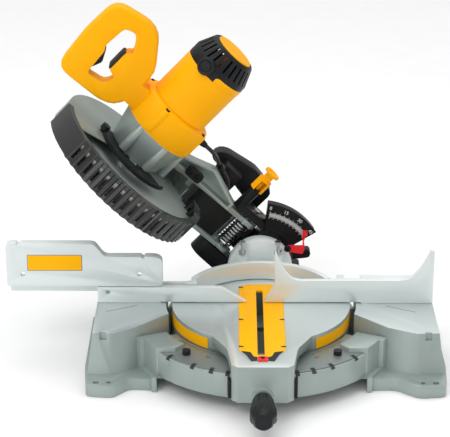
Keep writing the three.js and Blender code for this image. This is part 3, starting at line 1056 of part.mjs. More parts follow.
function gearCase() {
  const { front, back, smallRadius, largeRadius, wall, columns, columnRadius } = GEAR_CASE;
  const { y, z } = MOTOR_AXIS;
  const inside = smallRadius - wall;
  const shell = turn([[0, front], [smallRadius - wall / 2, front], [smallRadius, front + wall / 2], [largeRadius, back - wall],
    [largeRadius, back], [largeRadius - wall, back], [largeRadius - wall, back - wall], [inside + 7, GEAR.front - wall],
    [0, GEAR.front - wall]], 'x', 32, y, z);
  const column = Array.from({ length: columns }, (_, i) => {
    const a = DEG * (150 + 52 * i);
    return rod(columnRadius, 'x', front + wall, back, y + (largeRadius - columnRadius / 2) * Math.cos(a),
      z + (largeRadius - columnRadius / 2) * Math.sin(a), 14);
  });
  const hollow = turn([[0, GEAR.front - wall], [inside + 7, GEAR.front - wall], [largeRadius - wall, back - wall],
    [largeRadius - wall, back + CUT_OVERRUN], [0, back + CUT_OVERRUN]], 'x', 32, y, z);
  const bore = rod(SHAFT.radius + FIT_GAP, 'x', front - CUT_OVERRUN, GEAR.front, 0, 0, 24);
  return cut(join(shell, column), hollow, bore);
}

function guardPlate() {
  const { inner, outer, thickness, fromDegrees, toDegrees } = GUARD_PLATE;
  const x0 = UPPER_GUARD.right + FIT_GAP;
  const plate = extrude(sector(inner, outer, fromDegrees, toDegrees, 20), 'x', x0, x0 + thickness);
  const rimTurn = extrude(sector(outer - thickness, outer, fromDegrees, toDegrees, 20), 'x', x0, x0 + 2 * thickness);
  const clearGear = rod(GEAR_CASE.smallRadius + 3, 'x', 0, GEAR_CASE.back, MOTOR_AXIS.y, MOTOR_AXIS.z, 44);
  const { y, z, headRadius, shankRadius, headStart, headEnd, tip } = SPINDLE_BUTTON;
  const aroundButton = rod(headRadius + 2 * RUNNING_GAP, 'x', tip, headEnd, y, z, 12);
  return cut(join(plate, rimTurn), clearGear, aroundButton);
}

function motorCollar() {
  const { front, back, radius, mouth, wall, screwDegrees, lugRadius } = COLLAR;
  const { y, z } = MOTOR_AXIS;
  const taper = (radius - mouth) / 2;
  const shell = turn([[radius, front], [radius, back - taper], [mouth, back], [mouth - wall, back], [mouth - wall, back - wall],
    [radius - wall, front + wall], [radius - wall, front], [radius, front]], 'x', 36, y, z);
  const lugs = screwDegrees.map((degrees) => {
    const a = DEG * degrees;
    return rod(lugRadius, 'x', front + wall, back - taper, y + (radius - wall) * Math.cos(a), z + (radius - wall) * Math.sin(a), 12);
  });
  const inside = rod(mouth - wall, 'x', front - CUT_OVERRUN, back + CUT_OVERRUN, y, z, 36);
  return cut(join(shell, lugs), inside);
}

function motorHousing() {
  const { front, back, radius, wall } = MOTOR;
  return pipe(radius, radius - wall, 'x', front, back, MOTOR_AXIS.y, MOTOR_AXIS.z, 44);
}

function endCap() {
  const { back, shoulder, endRadius, wall, slots, slotWidth } = END_CAP;
  const { y, z } = MOTOR_AXIS;
  const front = MOTOR.back + FIT_GAP;
  const r = MOTOR.radius;
  const shell = turn([[r, front], [r, shoulder], [endRadius + wall, back - wall], [endRadius, back],
    [0, back], [0, back - wall], [endRadius - wall, back - wall], [r - wall, shoulder], [r - wall, front], [r, front]], 'x', 44, y, z);
  const cuts = Array.from({ length: slots }, (_, i) => moved(turned(box(shoulder + wall, back - 2 * wall,
    endRadius - 2 * wall, r + CUT_OVERRUN, -slotWidth / 2, slotWidth / 2), 'x', 360 * i / slots), 0, y, z));
  const boss = pipe(BEARING.bossRadius, ARMATURE.shaft + FIT_GAP, 'x', back - 3 * BEARING.width / 2, back - wall / 2, y, z, 16);
  return join(cut(shell, cuts), boss);
}

function motorDisc() {
  const x = END_CAP.back + FIT_GAP;
  return turn([[0, x], [END_CAP.discRadius, x], [END_CAP.discRadius - END_CAP.disc / 2, x + END_CAP.disc], [0, x + END_CAP.disc]],
    'x', 40, MOTOR_AXIS.y, MOTOR_AXIS.z);
}

function brushCap(degrees) {
  const r = MOTOR.radius + FIT_GAP;
  const cap = rod(BRUSH_CAP.radius, 'z', r, r + BRUSH_CAP.length, BRUSH_CAP.x, 0, 16);
  return moved(turned(cap, 'x', degrees - 90), 0, MOTOR_AXIS.y, MOTOR_AXIS.z);
}

function armature() {
  const a = ARMATURE;
  const { y, z } = MOTOR_AXIS;
  return turn([[0, a.front], [a.pinion, a.front], [a.pinion, BEARING_PLATE.front - RUNNING_GAP], [a.shaft, BEARING_PLATE.front - RUNNING_GAP],
    [a.shaft, a.coreFront], [a.core, a.coreFront], [a.core, a.coreBack], [a.shaft, a.coreBack],
    [a.shaft, a.coreBack + a.shaft], [a.commutator, a.coreBack + a.shaft], [a.commutator, a.coreBack + 4 * a.shaft],
    [a.shaft, a.coreBack + 4 * a.shaft], [a.shaft, a.back], [0, a.back]], 'x', 16, y, z);
}

function coolingFan() {
  const { front, back, radius, blades, hub } = FAN;
  const disc = rod(radius, 'x', front, front + BASE.wall / 3, 0, 0, 24);
  const boss = rod(hub, 'x', front, back, 0, 0, 12);
  const vanes = Array.from({ length: blades }, (_, i) => turned(box(front, back, hub - CUT_OVERRUN, radius - CUT_OVERRUN / 2,
    -BASE.wall / 6, BASE.wall / 6), 'x', 360 * i / blades));
  const bore = rod(ARMATURE.shaft + FIT_GAP, 'x', front - CUT_OVERRUN, back + CUT_OVERRUN, 0, 0, 16);
  return moved(cut(join(disc, boss, vanes), bore), 0, MOTOR_AXIS.y, MOTOR_AXIS.z);
}

function bearingPlate() {
  const { front, thickness } = BEARING_PLATE;
  const { y, z } = MOTOR_AXIS;
  const share = (front - GEAR.front + GEAR_CASE.wall) / (GEAR_CASE.back - GEAR.front);
  const radius = GEAR_CASE.smallRadius - GEAR_CASE.wall + 7 + share * (GEAR_CASE.largeRadius - GEAR_CASE.smallRadius - 7) - 2 * FIT_GAP;
  const disc = rod(radius, 'x', front, front + thickness, y, z, 28);
  const motorBore = rod(ARMATURE.shaft + FIT_GAP, 'x', front - CUT_OVERRUN, front + thickness + CUT_OVERRUN, y, z, 16);
  const arborSeat = rod(BEARING.bore + FIT_GAP, 'x', front - CUT_OVERRUN, front + BEARING.width, 0, 0, 16);
  return cut(disc, motorBore, arborSeat);
}

// Handle: a closed loop in two moulded halves over the motor collar

const HANDLE_OUTER = [[99, 82], [69, 96], [57, 122], [51, 205], [60, 222], [136, 229], [200, 226], [216, 212],
  [228, 152], [220, 126], [201, 111], [166, 84]];
const HANDLE_OPENING = [[80, 174], [86, 140], [100, 132], [111, 134], [111, 148], [158, 148], [164, 137],
  [196, 158], [189, 180], [140, 184], [134, 178]];

function handleHalf(side) {
  const h = HANDLE;
  const outer = rounded(HANDLE_OUTER, 14);
  const [y0, y1] = side < 0 ? [h.y - h.halfWidth, h.y - FIT_GAP / 2] : [h.y + FIT_GAP / 2, h.y + h.halfWidth];
  const edge = side < 0 ? y0 : y1;
  const ring = (points, y) => points.map(([x, z]) => [x, y, z]);
  const quarter = [0, 30, 60, 90].map((degrees) => ring(inset(outer, h.round * (1 - Math.sin(DEG * degrees)) + FIT_GAP),
    edge - side * h.round * (1 - Math.cos(DEG * degrees))));
  const body = side < 0 ? skin([...quarter, ring(outer, y1)]) : skin([ring(outer, y0), ...quarter.reverse()]);
  const opening = extrude(rounded(HANDLE_OPENING, 7), 'y', y0 - CUT_OVERRUN, y1 + CUT_OVERRUN);
  const collar = rod(COLLAR.radius + FIT_GAP, 'x', COLLAR.front - CUT_OVERRUN, COLLAR.back - CUT_OVERRUN * 2, MOTOR_AXIS.y, MOTOR_AXIS.z, 36);
  const neck = box(COLLAR.front + CUT_OVERRUN * 3, COLLAR.back - CUT_OVERRUN * 4, y0, y1, COLLAR.radius / 2, HANDLE_OUTER[0][1] + BASE.wall * 3);
  return cut(join(body, neck), opening, collar, triggerSpace());
}

function triggerSpace() {
  const t = TRIGGER;
  return box(t.x - FIT_GAP * 3, t.x + t.length + FIT_GAP * 3, HANDLE.y - t.halfWidth - RUNNING_GAP,
    HANDLE.y + t.halfWidth + RUNNING_GAP, t.z - t.drop, t.z + t.drop);
}

function trigger() {
  const t = TRIGGER;
  const outline = rounded([[t.x, t.z + t.tip], [t.x, t.z - t.tip / 2], [t.x + t.length * 0.55, t.z - t.drop],
    [t.x + t.length, t.z - t.tip / 2], [t.x + t.length, t.z + t.tip]], 4);
  return extrude(outline, 'y', HANDLE.y - t.halfWidth, HANDLE.y + t.halfWidth);
}

function handlePad() {
  const z = 148 + FIT_GAP;
  return extrude(rounded([[113, z], [157, z], [154, z + 5], [116, z + 5]], 2), 'y',
    HANDLE.y - HANDLE.halfWidth + 3, HANDLE.y + HANDLE.halfWidth - 3);
}

// Covers on the arm

function dustChute() {
  const { front, back, outline, corner, wall } = CHUTE;
  const { right, y0, z0, z1 } = CHUTE.neck;
  const outer = rounded(outline, corner);
  const mouth = extrude(inset(outer, wall), 'y', front + wall, back + CUT_OVERRUN);
  const hood = cut(extrude(outer, 'y', front, back), mouth);
  const neck = box(HEAD_ARM.right + FIT_GAP, right, y0, front + CUT_OVERRUN, z0, z1);
  return moved(join(hood, neck), 0, -ARBOR.y, -ARBOR.z);
}

function armCover() {
  const { left, leftWall, right, rightWall } = HEAD_ARM;
  const { thickness } = ARM_COVER;
  const front = ARM_COVER.front.map(fromPivot);
  const back = front.map(([y, z]) => [y + thickness, z]).reverse();
  return extrude([...front, ...back], 'x', left + leftWall + FIT_GAP, right - rightWall - FIT_GAP);
}

function sideBracket() {
  const { left, right, low, high, thickness, corner } = BRACKET;
  const outline = rounded([[left, high], [left, low], [right, low], [right, high]], corner);
  return extrude(outline, 'y', FLARE.front - FIT_GAP - thickness, FLARE.front - FIT_GAP);
}

function spindleButton() {
  const { y, z, headRadius, headStart, headEnd, shankRadius, tip } = SPINDLE_BUTTON;
  const head = extrude(hexagon(headRadius), 'x', headStart, headEnd);
  return moved(join(head, rod(shankRadius, 'x', tip, headStart + CUT_OVERRUN, 0, 0, 12)), 0, y, z);
}

// The lead from the motor's collar, through a clip, into the arm
function leadGland() {
  const [x, y, z] = LEAD.route[0];
  const { length, radius } = LEAD.gland;
  const end = z + FIT_GAP;
  return turn([[0, end], [CORD.radius + 1, end], [radius, end + length], [0, end + length]], 'z', 12, x, y);
}

function motorLead() {
  return tube(LEAD.route, CORD.radius, CORD.sides, LEAD.steps);
}

function leadClip() {
  const before = Math.round(LEAD.clipShare * (LEAD.route.length - 1));
  const [a, b] = [LEAD.route[before], LEAD.route[before + 1]].map((p) => new THREE.Vector3(...p));
  const { outer, length } = LEAD.clip;
  const ring = pipe(outer, CORD.radius + RUNNING_GAP + FIT_GAP, 'z', -length / 2, length / 2, 0, 0, 16);
  const turnTo = new THREE.Quaternion().setFromUnitVectors(new THREE.Vector3(0, 0, 1), b.clone().sub(a).normalize());
  return ring.applyQuaternion(turnTo).translate(...a.clone().lerp(b, 1 / 2).toArray());
}

// Mains cord behind the saw: down to the bench, a coil of two layers, and the plug

function coilPoints() {
  const { perLayer, turns, stepsPerTurn, x, y, gap, meanRadius, lift, startDegrees } = COIL;
  const pitch = 2 * CORD.radius + gap;
  const inner = meanRadius - pitch * perLayer / 2;
  const climb = 1 / 4;
  return Array.from({ length: turns * stepsPerTurn + 1 }, (_, i) => {
    const t = i / stepsPerTurn;
    const fromMiddle = t - turns / 2;
    const share = Math.min(1, Math.max(0, (fromMiddle + climb) / (2 * climb)));
    const r = inner + pitch * Math.abs(fromMiddle);
    const a = DEG * startDegrees + 2 * Math.PI * t;
    return [x + r * Math.cos(a), y + r * Math.sin(a), CORD.radius + lift + pitch * share];
  });
}

function extended(point, next, distance) {
  const d = new THREE.Vector3(...point).sub(new THREE.Vector3(...next)).setZ(0).setLength(distance);
  return [point[0] + d.x, point[1] + d.y, point[2]];
}

function mainsCoil() {
  const points = coilPoints();
  const n = points.length;
  console.log('least gap between loops of the coil, mm', leastGap(points, CORD.radius, COIL.stepsPerTurn / 2));
  const first = extended(points[0], points[1], 2 * CORD.radius);
  const last = extended(points[n - 1], points[n - 2], 2 * CORD.radius);
  return sweep([first, ...points, last], CORD.radius, COIL.sides);
}

function mainsGland() {
  const y = BEVEL_LEVER.y + BEVEL_LEVER.thickness + FIT_GAP;
  const { length, radius, collar } = GLAND;
  return turn([[0, y], [radius, y], [radius, y + collar], [CORD.radius + 1, y + length], [0, y + length]], 'y', 20, 0, TABLE_HEIGHT);
}

function mainsCord() {
  const start = BEVEL_LEVER.y + BEVEL_LEVER.thickness + GLAND.length + 2 * FIT_GAP;
  const points = coilPoints();
  const end = extended(points[0], points[1], 2 * CORD.radius + FIT_GAP);
  const before = extended(end, points[0], 5 * CORD.radius);
  return tube([[0, start, TABLE_HEIGHT], [0, start + 2 * CORD.radius, TABLE_HEIGHT], ...COIL.drop, before, end],
    CORD.radius, CORD.sides, CORD.dropSteps);
}

function mainsTail() {
  const points = coilPoints();
  const n = points.length;
  const start = extended(points[n - 1], points[n - 2], 2 * CORD.radius + FIT_GAP);
  const after = extended(start, points[n - 1], 2 * CORD.radius);
  const [x, y, z] = PLUG.at;
  return tube([start, after, ...COIL.tail, [x, y - 2 * CORD.radius, z], [x, y - FIT_GAP, z]], CORD.radius, CORD.sides, CORD.tailSteps);
}

function mainsPlug() {
  const { at: [x, y, z], length, width, height, neck, blade, bladeWidth, bladeGap, bladeThickness } = PLUG;
  const ring = (w, h, at) => rounded([[w, -h], [w, h], [-w, h], [-w, -h]], height / 5, 2).map(([u, v]) => [x + u, at, z + v]);
  const body = skin([ring(neck, neck, y), ring(width / 2, height / 2, y + length / 3), ring(width / 2, height / 2, y + length)]);
  const prongs = [-1, 1].map((s) => box(x + s * bladeGap - bladeThickness / 2, x + s * bladeGap + bladeThickness / 2,
    y + length - CUT_OVERRUN, y + length + blade, z - bladeWidth / 2, z + bladeWidth / 2));
  return join(body, prongs);
}

// Everything in its place

place('base_casting', baseCasting(), castPaint);
place('mitre_scale', mitreScale(), steel);
for (const [name, side] of [['scale_screw_right', 1], ['scale_screw_left', -1]]) {
  const angle = DEG * (-90 + side * SCALE_SCREW.degrees);
  place(name, scaleScrew(), blackPlastic, saw, [SCALE_SCREW.ringRadius * Math.cos(angle), SCALE_SCREW.ringRadius * Math.sin(angle), 0]);
}
place('mitre_pivot_pin', pivotPin(), steel);
place('fence_casting', fenceCasting(), machined, saw, [0, 0, TABLE_HEIGHT]);
place('sliding_fence', slidingFence(), machined, saw, [0, 0, TABLE_HEIGHT]);
place('fence_clamp_knob', clampKnob(), blackPlastic);

place('turntable', turntable(), castPaint);
place('kerf_plate', kerfPlate(), yellow);
place('mitre_pointer', mitrePointer(), redPlastic);
place('detent_shoe_right', detentShoe(1), blackPlastic);
place('detent_shoe_left', detentShoe(-1), blackPlastic);
place('mitre_knob', mitreKnob(), blackRubber);
place('mitre_lock_rod', lockRod(), steel);
place('bevel_stop_bolt_right', stopBolt(), steel, saw, [TRUNNION.pillarX, 0, 0]);
place('bevel_stop_bolt_left', stopBolt(), steel, saw, [-TRUNNION.pillarX, 0, 0]);
place('bevel_pivot_bolt', bevelPivotBolt(), steel);
place('bevel_lever', bevelLever(), blackPlastic, saw, [0, 0, TABLE_HEIGHT]);
place('bevel_pointer', bevelPointer(), redPlastic);

place('tilt_arm', tiltArm(), blackPlastic, tiltFrame);
place('bevel_scale', bevelScale(), blackPlastic, tiltFrame);
place('chop_pivot_shaft', pivotShaft(), steel, tiltFrame);
place('return_spring', returnSpring(), steel, tiltFrame);
place('lock_down_pin', lockDownPin(), yellow, tiltFrame);

place('head_casting', headCasting(), castPaint, head);
place('lower_guard', lowerGuard(), smoky, head);
place('saw_blade', sawBlade(), bladeSteel, head);
place('inner_flange', bladeFlange(1), steel, head);
place('outer_flange', bladeFlange(-1), steel, head);
place('arbor_shaft', arborShaft(), steel, head);
place('arbor_screw', arborScrew(), steel, head);
place('driven_gear', drivenGear(), steel, head);
place('gear_case', gearCase(), castPaint, head);
place('guard_plate', guardPlate(), blackPlastic, head);
place('motor_collar', motorCollar(), yellow, head);
place('motor_housing', motorHousing(), yellow, head);
place('motor_end_cap', endCap(), blackPlastic, head);
place('motor_disc', motorDisc(), yellow, head);
place('brush_cap_front', brushCap(BRUSH_CAP.degrees[0]), blackPlastic, head);
place('brush_cap_rear', brushCap(BRUSH_CAP.degrees[1]), blackPlastic, head);
place('armature', armature(), copper, head);
place('cooling_fan', coolingFan(), blackPlastic, head);
place('bearing_plate', bearingPlate(), castPaint, head);
place('handle_front_half', handleHalf(-1), yellow, head);
place('handle_rear_half', handleHalf(1), yellow, head);
place('handle_pad', handlePad(), blackPlastic, head);
place('trigger', trigger(), blackPlastic, head);
place('dust_chute', dustChute(), blackPlastic, head);
place('arm_cover', armCover(), blackPlastic, head);
place('side_bracket', sideBracket(), blackPlastic, head);
place('spindle_button', spindleButton(), blackPlastic, head);
place('motor_lead_gland', leadGland(), blackRubber, head);
place('motor_lead', motorLead(), blackRubber, head);
place('motor_lead_clip', leadClip(), blackPlastic, head);
place('mains_gland', mainsGland(), blackRubber);
place('mains_cord', mainsCord(), blackRubber);
place('mains_coil', mainsCoil(), blackRubber);
place('mains_tail', mainsTail(), blackRubber);
place('mains_plug', mainsPlug(), blackRubber);

export default saw;
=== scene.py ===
"""Looks of the mitre saw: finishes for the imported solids, and the small pieces that only the scene has."""
import math

import bmesh
import bpy
from mathutils import Matrix, Vector


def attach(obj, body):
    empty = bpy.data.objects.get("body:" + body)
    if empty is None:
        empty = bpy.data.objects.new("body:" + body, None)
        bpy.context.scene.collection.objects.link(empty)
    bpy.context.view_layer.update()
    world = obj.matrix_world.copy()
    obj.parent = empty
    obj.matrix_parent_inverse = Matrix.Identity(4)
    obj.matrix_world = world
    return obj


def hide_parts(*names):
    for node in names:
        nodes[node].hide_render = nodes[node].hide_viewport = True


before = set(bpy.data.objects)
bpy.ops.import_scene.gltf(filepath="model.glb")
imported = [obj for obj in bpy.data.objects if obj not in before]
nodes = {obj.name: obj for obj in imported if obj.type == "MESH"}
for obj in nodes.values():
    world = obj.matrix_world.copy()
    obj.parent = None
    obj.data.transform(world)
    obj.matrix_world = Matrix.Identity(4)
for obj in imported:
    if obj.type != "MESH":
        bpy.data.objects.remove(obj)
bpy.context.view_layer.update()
scene = bpy.context.scene
MM = 0.001

# Frames of the tilting arm and of the head, in row metres from local millimetres
TABLE = 102
BEVEL = math.radians(46)
PIVOT_Y, PIVOT_Z, ARM_LENGTH, ARM_RAISED = 203, 76, 290.7, math.radians(113.3)
ARBOR = (0, PIVOT_Y + ARM_LENGTH * math.cos(ARM_RAISED), PIVOT_Z + ARM_LENGTH * math.sin(ARM_RAISED))
ROW = Matrix.Scale(MM, 4)
TILT = ROW @ Matrix.Translation((0, 0, TABLE)) @ Matrix.Rotation(-BEVEL, 4, "Y")
HEAD = TILT @ Matrix.Translation(ARBOR)
MOTOR_Y, MOTOR_Z = 32, 2


# Camera, as fitted to the photograph

LENS, SENSOR = 140.56, 36
NEAR, FAR = 0.05, 50
CAMERA_AT = (-0.051, -2.9428, 1.4712)
CAMERA_DOWN, CAMERA_TURN = 22.2, 0.3


def make_camera():
    data = bpy.data.cameras.new("camera")
    data.sensor_fit = "HORIZONTAL"
    data.sensor_width = SENSOR
    data.lens = LENS
    data.clip_start, data.clip_end = NEAR, FAR
    cam = bpy.data.objects.new("camera", data)
    cam.location = CAMERA_AT
    cam.rotation_euler = (math.radians(90 - CAMERA_DOWN), 0, math.radians(CAMERA_TURN))
    scene.collection.objects.link(cam)
    scene.camera = cam


make_camera()


# Node materials

NOISE_ROUGH, FINE_DETAIL, BROAD_DETAIL = 0.55, 4.0, 2.0
PATCH_START, PATCH_END = 0.3, 0.7
LEAST_ROUGHNESS, COAT_ROUGHNESS = 0.02, 0.15

# Sockets of the Mix node, which share their names
MIX_MASK = 0
MIX_COLORS, MIX_COLOR_OUT = (6, 7), 2
MIX_FLOATS, MIX_FLOAT_OUT = (2, 3), 0


def new_material(name):
    mat = bpy.data.materials.new(name)
    mat.use_nodes = True
    tree = mat.node_tree
    return mat, tree, tree.nodes["Principled BSDF"]


def add_node(tree, kind, **values):
    node = tree.nodes.new(kind)
    for key, value in values.items():
        if key in node.inputs:
            node.inputs[key].default_value = value
        else:
            setattr(node, key, value)
    return node


def noise(tree, vector, scale, detail):
    node = add_node(tree, "ShaderNodeTexNoise", Scale=scale, Detail=detail, Roughness=NOISE_ROUGH)
    tree.links.new(vector, node.inputs["Vector"])
    return node.outputs["Fac"]


def ramp(tree, fac, low, high):
    node = tree.nodes.new("ShaderNodeValToRGB")
    for stop, position, color in zip(node.color_ramp.elements, (PATCH_START, PATCH_END), (low, high)):
        stop.position, stop.color = position, (*color, 1)
    tree.links.new(fac, node.inputs["Fac"])
    return node.outputs["Color"]


def surface(name, color, rough, metal=0.0, vary=0.12, grain=700.0, bump=0.15, depth=0.0002,
            stretch=(1, 1, 1), tilt=0.0, patch=14.0, coat=0.0, spec=0.5, alpha=1.0, rough_vary=0.1):
    """A paint, metal or plastic, with patches of colour and a fine grain in roughness and height."""
    mat, tree, shader = new_material(name)
    coords = tree.nodes.new("ShaderNodeTexCoord").outputs["Object"]
    mapping = add_node(tree, "ShaderNodeMapping")
    mapping.inputs["Rotation"].default_value = (0, tilt, 0)
    mapping.inputs["Scale"].default_value = stretch
    tree.links.new(coords, mapping.inputs["Vector"])
    fine = noise(tree, mapping.outputs["Vector"], grain, FINE_DETAIL)
    broad = noise(tree, coords, patch, BROAD_DETAIL)
    low = tuple(max(0.0, c * (1 - vary)) for c in color)
    high = tuple(min(1.0, c * (1 + vary)) for c in color)
    tree.links.new(ramp(tree, broad, low, high), shader.inputs["Base Color"])
    spread = tree.nodes.new("ShaderNodeMapRange")
    spread.inputs["To Min"].default_value = max(LEAST_ROUGHNESS, rough - rough_vary)
    spread.inputs["To Max"].default_value = min(1.0, rough + rough_vary)
    tree.links.new(fine, spread.inputs["Value"])
    tree.links.new(spread.outputs["Result"], shader.inputs["Roughness"])
    height = add_node(tree, "ShaderNodeBump", Strength=bump, Distance=depth)
    tree.links.new(fine, height.inputs["Height"])
    tree.links.new(height.outputs["Normal"], shader.inputs["Normal"])
    shader.inputs["Metallic"].default_value = metal
    shader.inputs["Specular IOR Level"].default_value = spec
    shader.inputs["Coat Weight"].default_value = coat
    shader.inputs["Coat Roughness"].default_value = COAT_ROUGHNESS
    shader.inputs["Alpha"].default_value = alpha
    return mat


def faced(mat, source, axis, limit, above, color, rough, metal):
    """A second finish past a limit of place or of direction, such as a casting's machined faces."""
    tree = mat.node_tree
    shader = tree.nodes["Principled BSDF"]
    coords = tree.nodes.new("ShaderNodeTexCoord").outputs[source]
    split = tree.nodes.new("ShaderNodeSeparateXYZ")
    tree.links.new(coords, split.inputs["Vector"])
    mask = add_node(tree, "ShaderNodeMath", operation="GREATER_THAN" if above else "LESS_THAN")
    tree.links.new(split.outputs[axis], mask.inputs[0])
    mask.inputs[1].default_value = limit
    tint = add_node(tree, "ShaderNodeMix", data_type="RGBA")
    old = shader.inputs["Base Color"].links[0].from_socket
    tree.links.new(mask.outputs[0], tint.inputs[MIX_MASK])
    tree.links.new(old, tint.inputs[MIX_COLORS[0]])
    tint.inputs[MIX_COLORS[1]].default_value = (*color, 1)
    tree.links.new(tint.outputs[MIX_COLOR_OUT], shader.inputs["Base Color"])
    for socket, value in (("Roughness", rough), ("Metallic", metal)):
        blend = add_node(tree, "ShaderNodeMix", data_type="FLOAT")
        tree.links.new(mask.outputs[0], blend.inputs[MIX_MASK])
        if shader.inputs[socket].links:
            tree.links.new(shader.inputs[socket].links[0].from_socket, blend.inputs[MIX_FLOATS[0]])
        else:
            blend.inputs[MIX_FLOATS[0]].default_value = shader.inputs[socket].default_value
        blend.inputs[MIX_FLOATS[1]].default_value = value
        tree.links.new(blend.outputs[MIX_FLOAT_OUT], shader.inputs[socket])
    return mat


# Where a casting's machined or paler faces begin: two places in metres, and a share of the face's normal
TABLE_FACE_Z, TRUNNION_Y, FENCE_FACE_TURN = 0.1015, 0.137, -0.35
PALE_PAINT, TABLE_METAL, FENCE_METAL = (0.74, 0.80, 0.79), (0.60, 0.66, 0.655), (0.70, 0.76, 0.755)
CAST_LOOK = dict(color=(0.335, 0.395, 0.375), rough=0.4, metal=0.45, vary=0.05, grain=900, bump=0.25,
                 depth=0.0003)
PALE_LOOK = dict(CAST_LOOK, color=PALE_PAINT, metal=0.1)


def machined_top(name):
    return faced(surface(name, **CAST_LOOK), "Object", "Z", TABLE_FACE_Z, True, TABLE_METAL, 0.33, 0.55)


CAST = surface("cast_paint", **CAST_LOOK)
CAST_TABLE = machined_top("cast_table")
CAST_TURN = faced(machined_top("cast_turntable"), "Object", "Y", TRUNNION_Y, True, PALE_PAINT, 0.45, 0.05)
CAST_FENCE = faced(surface("cast_fence", **PALE_LOOK), "Normal", "Y", FENCE_FACE_TURN, False, FENCE_METAL,
                   0.36, 0.4)
MACHINED = surface("machined", (0.74, 0.76, 0.76), 0.3, 0.8, vary=0.02, grain=260, bump=0.02, depth=0.0001,
                   rough_vary=0.03)
SCALE_METAL = surface("scale_metal", (0.27, 0.31, 0.30), 0.38, 0.6, vary=0.03, grain=500, bump=0.04)
STEEL = surface("steel", (0.62, 0.62, 0.61), 0.28, 1.0, vary=0.05, grain=600, bump=0.06)
BLADE = surface("ground_blade", (0.40, 0.455, 0.43), 0.42, 0.3, vary=0.05, grain=420, bump=0.06, tilt=BEVEL,
                stretch=(1, 0.1, 1))
DARK_STEEL = surface("dark_steel", (0.02, 0.021, 0.022), 0.4, 0.6, grain=500)
BLACK = surface("black_plastic", (0.009, 0.010, 0.011), 0.4, vary=0.3, grain=1100, bump=0.2, patch=30,
                spec=0.22)
BLACK_CAST = surface("black_casting", (0.008, 0.009, 0.010), 0.33, 0.1, vary=0.3, grain=800, bump=0.25,
                     spec=0.18)
PAD = surface("grip_rubber", (0.01, 0.011, 0.012), 0.6, 0.0, vary=0.2, grain=1500, bump=0.3)
YELLOW = surface("yellow_plastic", (1.0, 0.44, 0.0), 0.42, 0.0, vary=0.03, grain=1300, bump=0.1, depth=0.0001,
                 patch=8, rough_vary=0.05, spec=0.12)
YELLOW_PLATE = surface("yellow_plate", (1.0, 0.47, 0.0), 0.4, 0.0, vary=0.02, grain=1000, bump=0.05,
                       depth=0.0001, spec=0.12)
RED = surface("red_plastic", (0.82, 0.006, 0.012), 0.34, 0.0, vary=0.05, grain=900, bump=0.08)
CORD_SKIN = surface("cord_jacket", (0.010, 0.011, 0.012), 0.48, 0.0, vary=0.25, grain=1600, bump=0.3)
SMOKE = surface("smoke_plastic", (0.014, 0.014, 0.014), 0.12, 0.0, vary=0.1, grain=500, bump=0.03, alpha=0.92,
                rough_vary=0.03, coat=0.3, spec=0.6)
WHITE_MARK = surface("pale_marks", (0.80, 0.81, 0.81), 0.5, 0.0, vary=0.02, grain=900)
GREY_MARK = surface("grey_marks", (0.24, 0.25, 0.26), 0.5, 0.0, vary=0.03, grain=900)
# Dark for printed and engraved marks, and also for the painted shade in the detent slots
DARK_MARK_AND_SHADE = surface("dark_marks_and_shade", (0.02, 0.021, 0.022), 0.5, 0.0, vary=0.03, grain=900)
COPPER = surface("windings", (0.45, 0.17, 0.06), 0.4, 0.6, grain=300, stretch=(1, 8, 1), bump=0.5)

FINISH = {
    CAST: ["head_casting", "gear_case"],
    CAST_TABLE: ["base_casting"],
    CAST_TURN: ["turntable"],
    CAST_FENCE: ["fence_casting", "sliding_fence"],
    MACHINED: ["bearing_plate"],
    SCALE_METAL: ["mitre_scale"],
    STEEL: ["mitre_pivot_pin", "mitre_lock_rod", "bevel_pivot_bolt", "chop_pivot_shaft", "arbor_shaft",
            "inner_flange", "outer_flange", "bevel_stop_bolt_right", "bevel_stop_bolt_left", "return_spring"],
    BLADE: ["saw_blade"],
    DARK_STEEL: ["scale_screw_right", "scale_screw_left", "arbor_screw", "driven_gear"],
    COPPER: ["armature"],
    BLACK: ["detent_shoe_right", "detent_shoe_left", "bevel_lever", "motor_end_cap", "brush_cap_front",
            "brush_cap_rear", "trigger", "dust_chute", "arm_cover", "spindle_button", "motor_lead_gland",
            "motor_lead_clip", "mains_gland", "mains_plug", "fence_clamp_knob", "cooling_fan", "guard_plate",
            "side_bracket", "mitre_knob"],
    BLACK_CAST: ["tilt_arm", "bevel_scale"],
    PAD: ["handle_pad"],
    YELLOW: ["motor_housing", "motor_collar", "handle_front_half", "handle_rear_half", "motor_disc",
             "lock_down_pin"],
    YELLOW_PLATE: ["kerf_plate"],
    RED: ["mitre_pointer", "bevel_pointer"],
    SMOKE: ["lower_guard"],
    CORD_SKIN: ["motor_lead", "mains_cord", "mains_coil", "mains_tail"],
}

# Eased edges: width in millimetres, angles in degrees
SOFT_EDGE = {"base_casting": 1.2, "turntable": 0.9, "head_casting": 1.0, "gear_case": 1.0,
             "fence_casting": 0.5, "sliding_fence": 0.5, "tilt_arm": 0.8, "motor_collar": 1.0,
             "motor_end_cap": 0.5, "handle_front_half": 0.8, "handle_rear_half": 0.8, "kerf_plate": 0.3,
             "dust_chute": 1.0}
WELD_GAP, EDGE_SEGMENTS = 0.00001, 2
FLAT_WITHIN, EASED_OVER, SPLIT_OVER = 0.5, 38, 34
PIECE_EASED_OVER, PIECE_SPLIT_OVER, PIECE_WELD_GAP = 40, 42, 1e-7


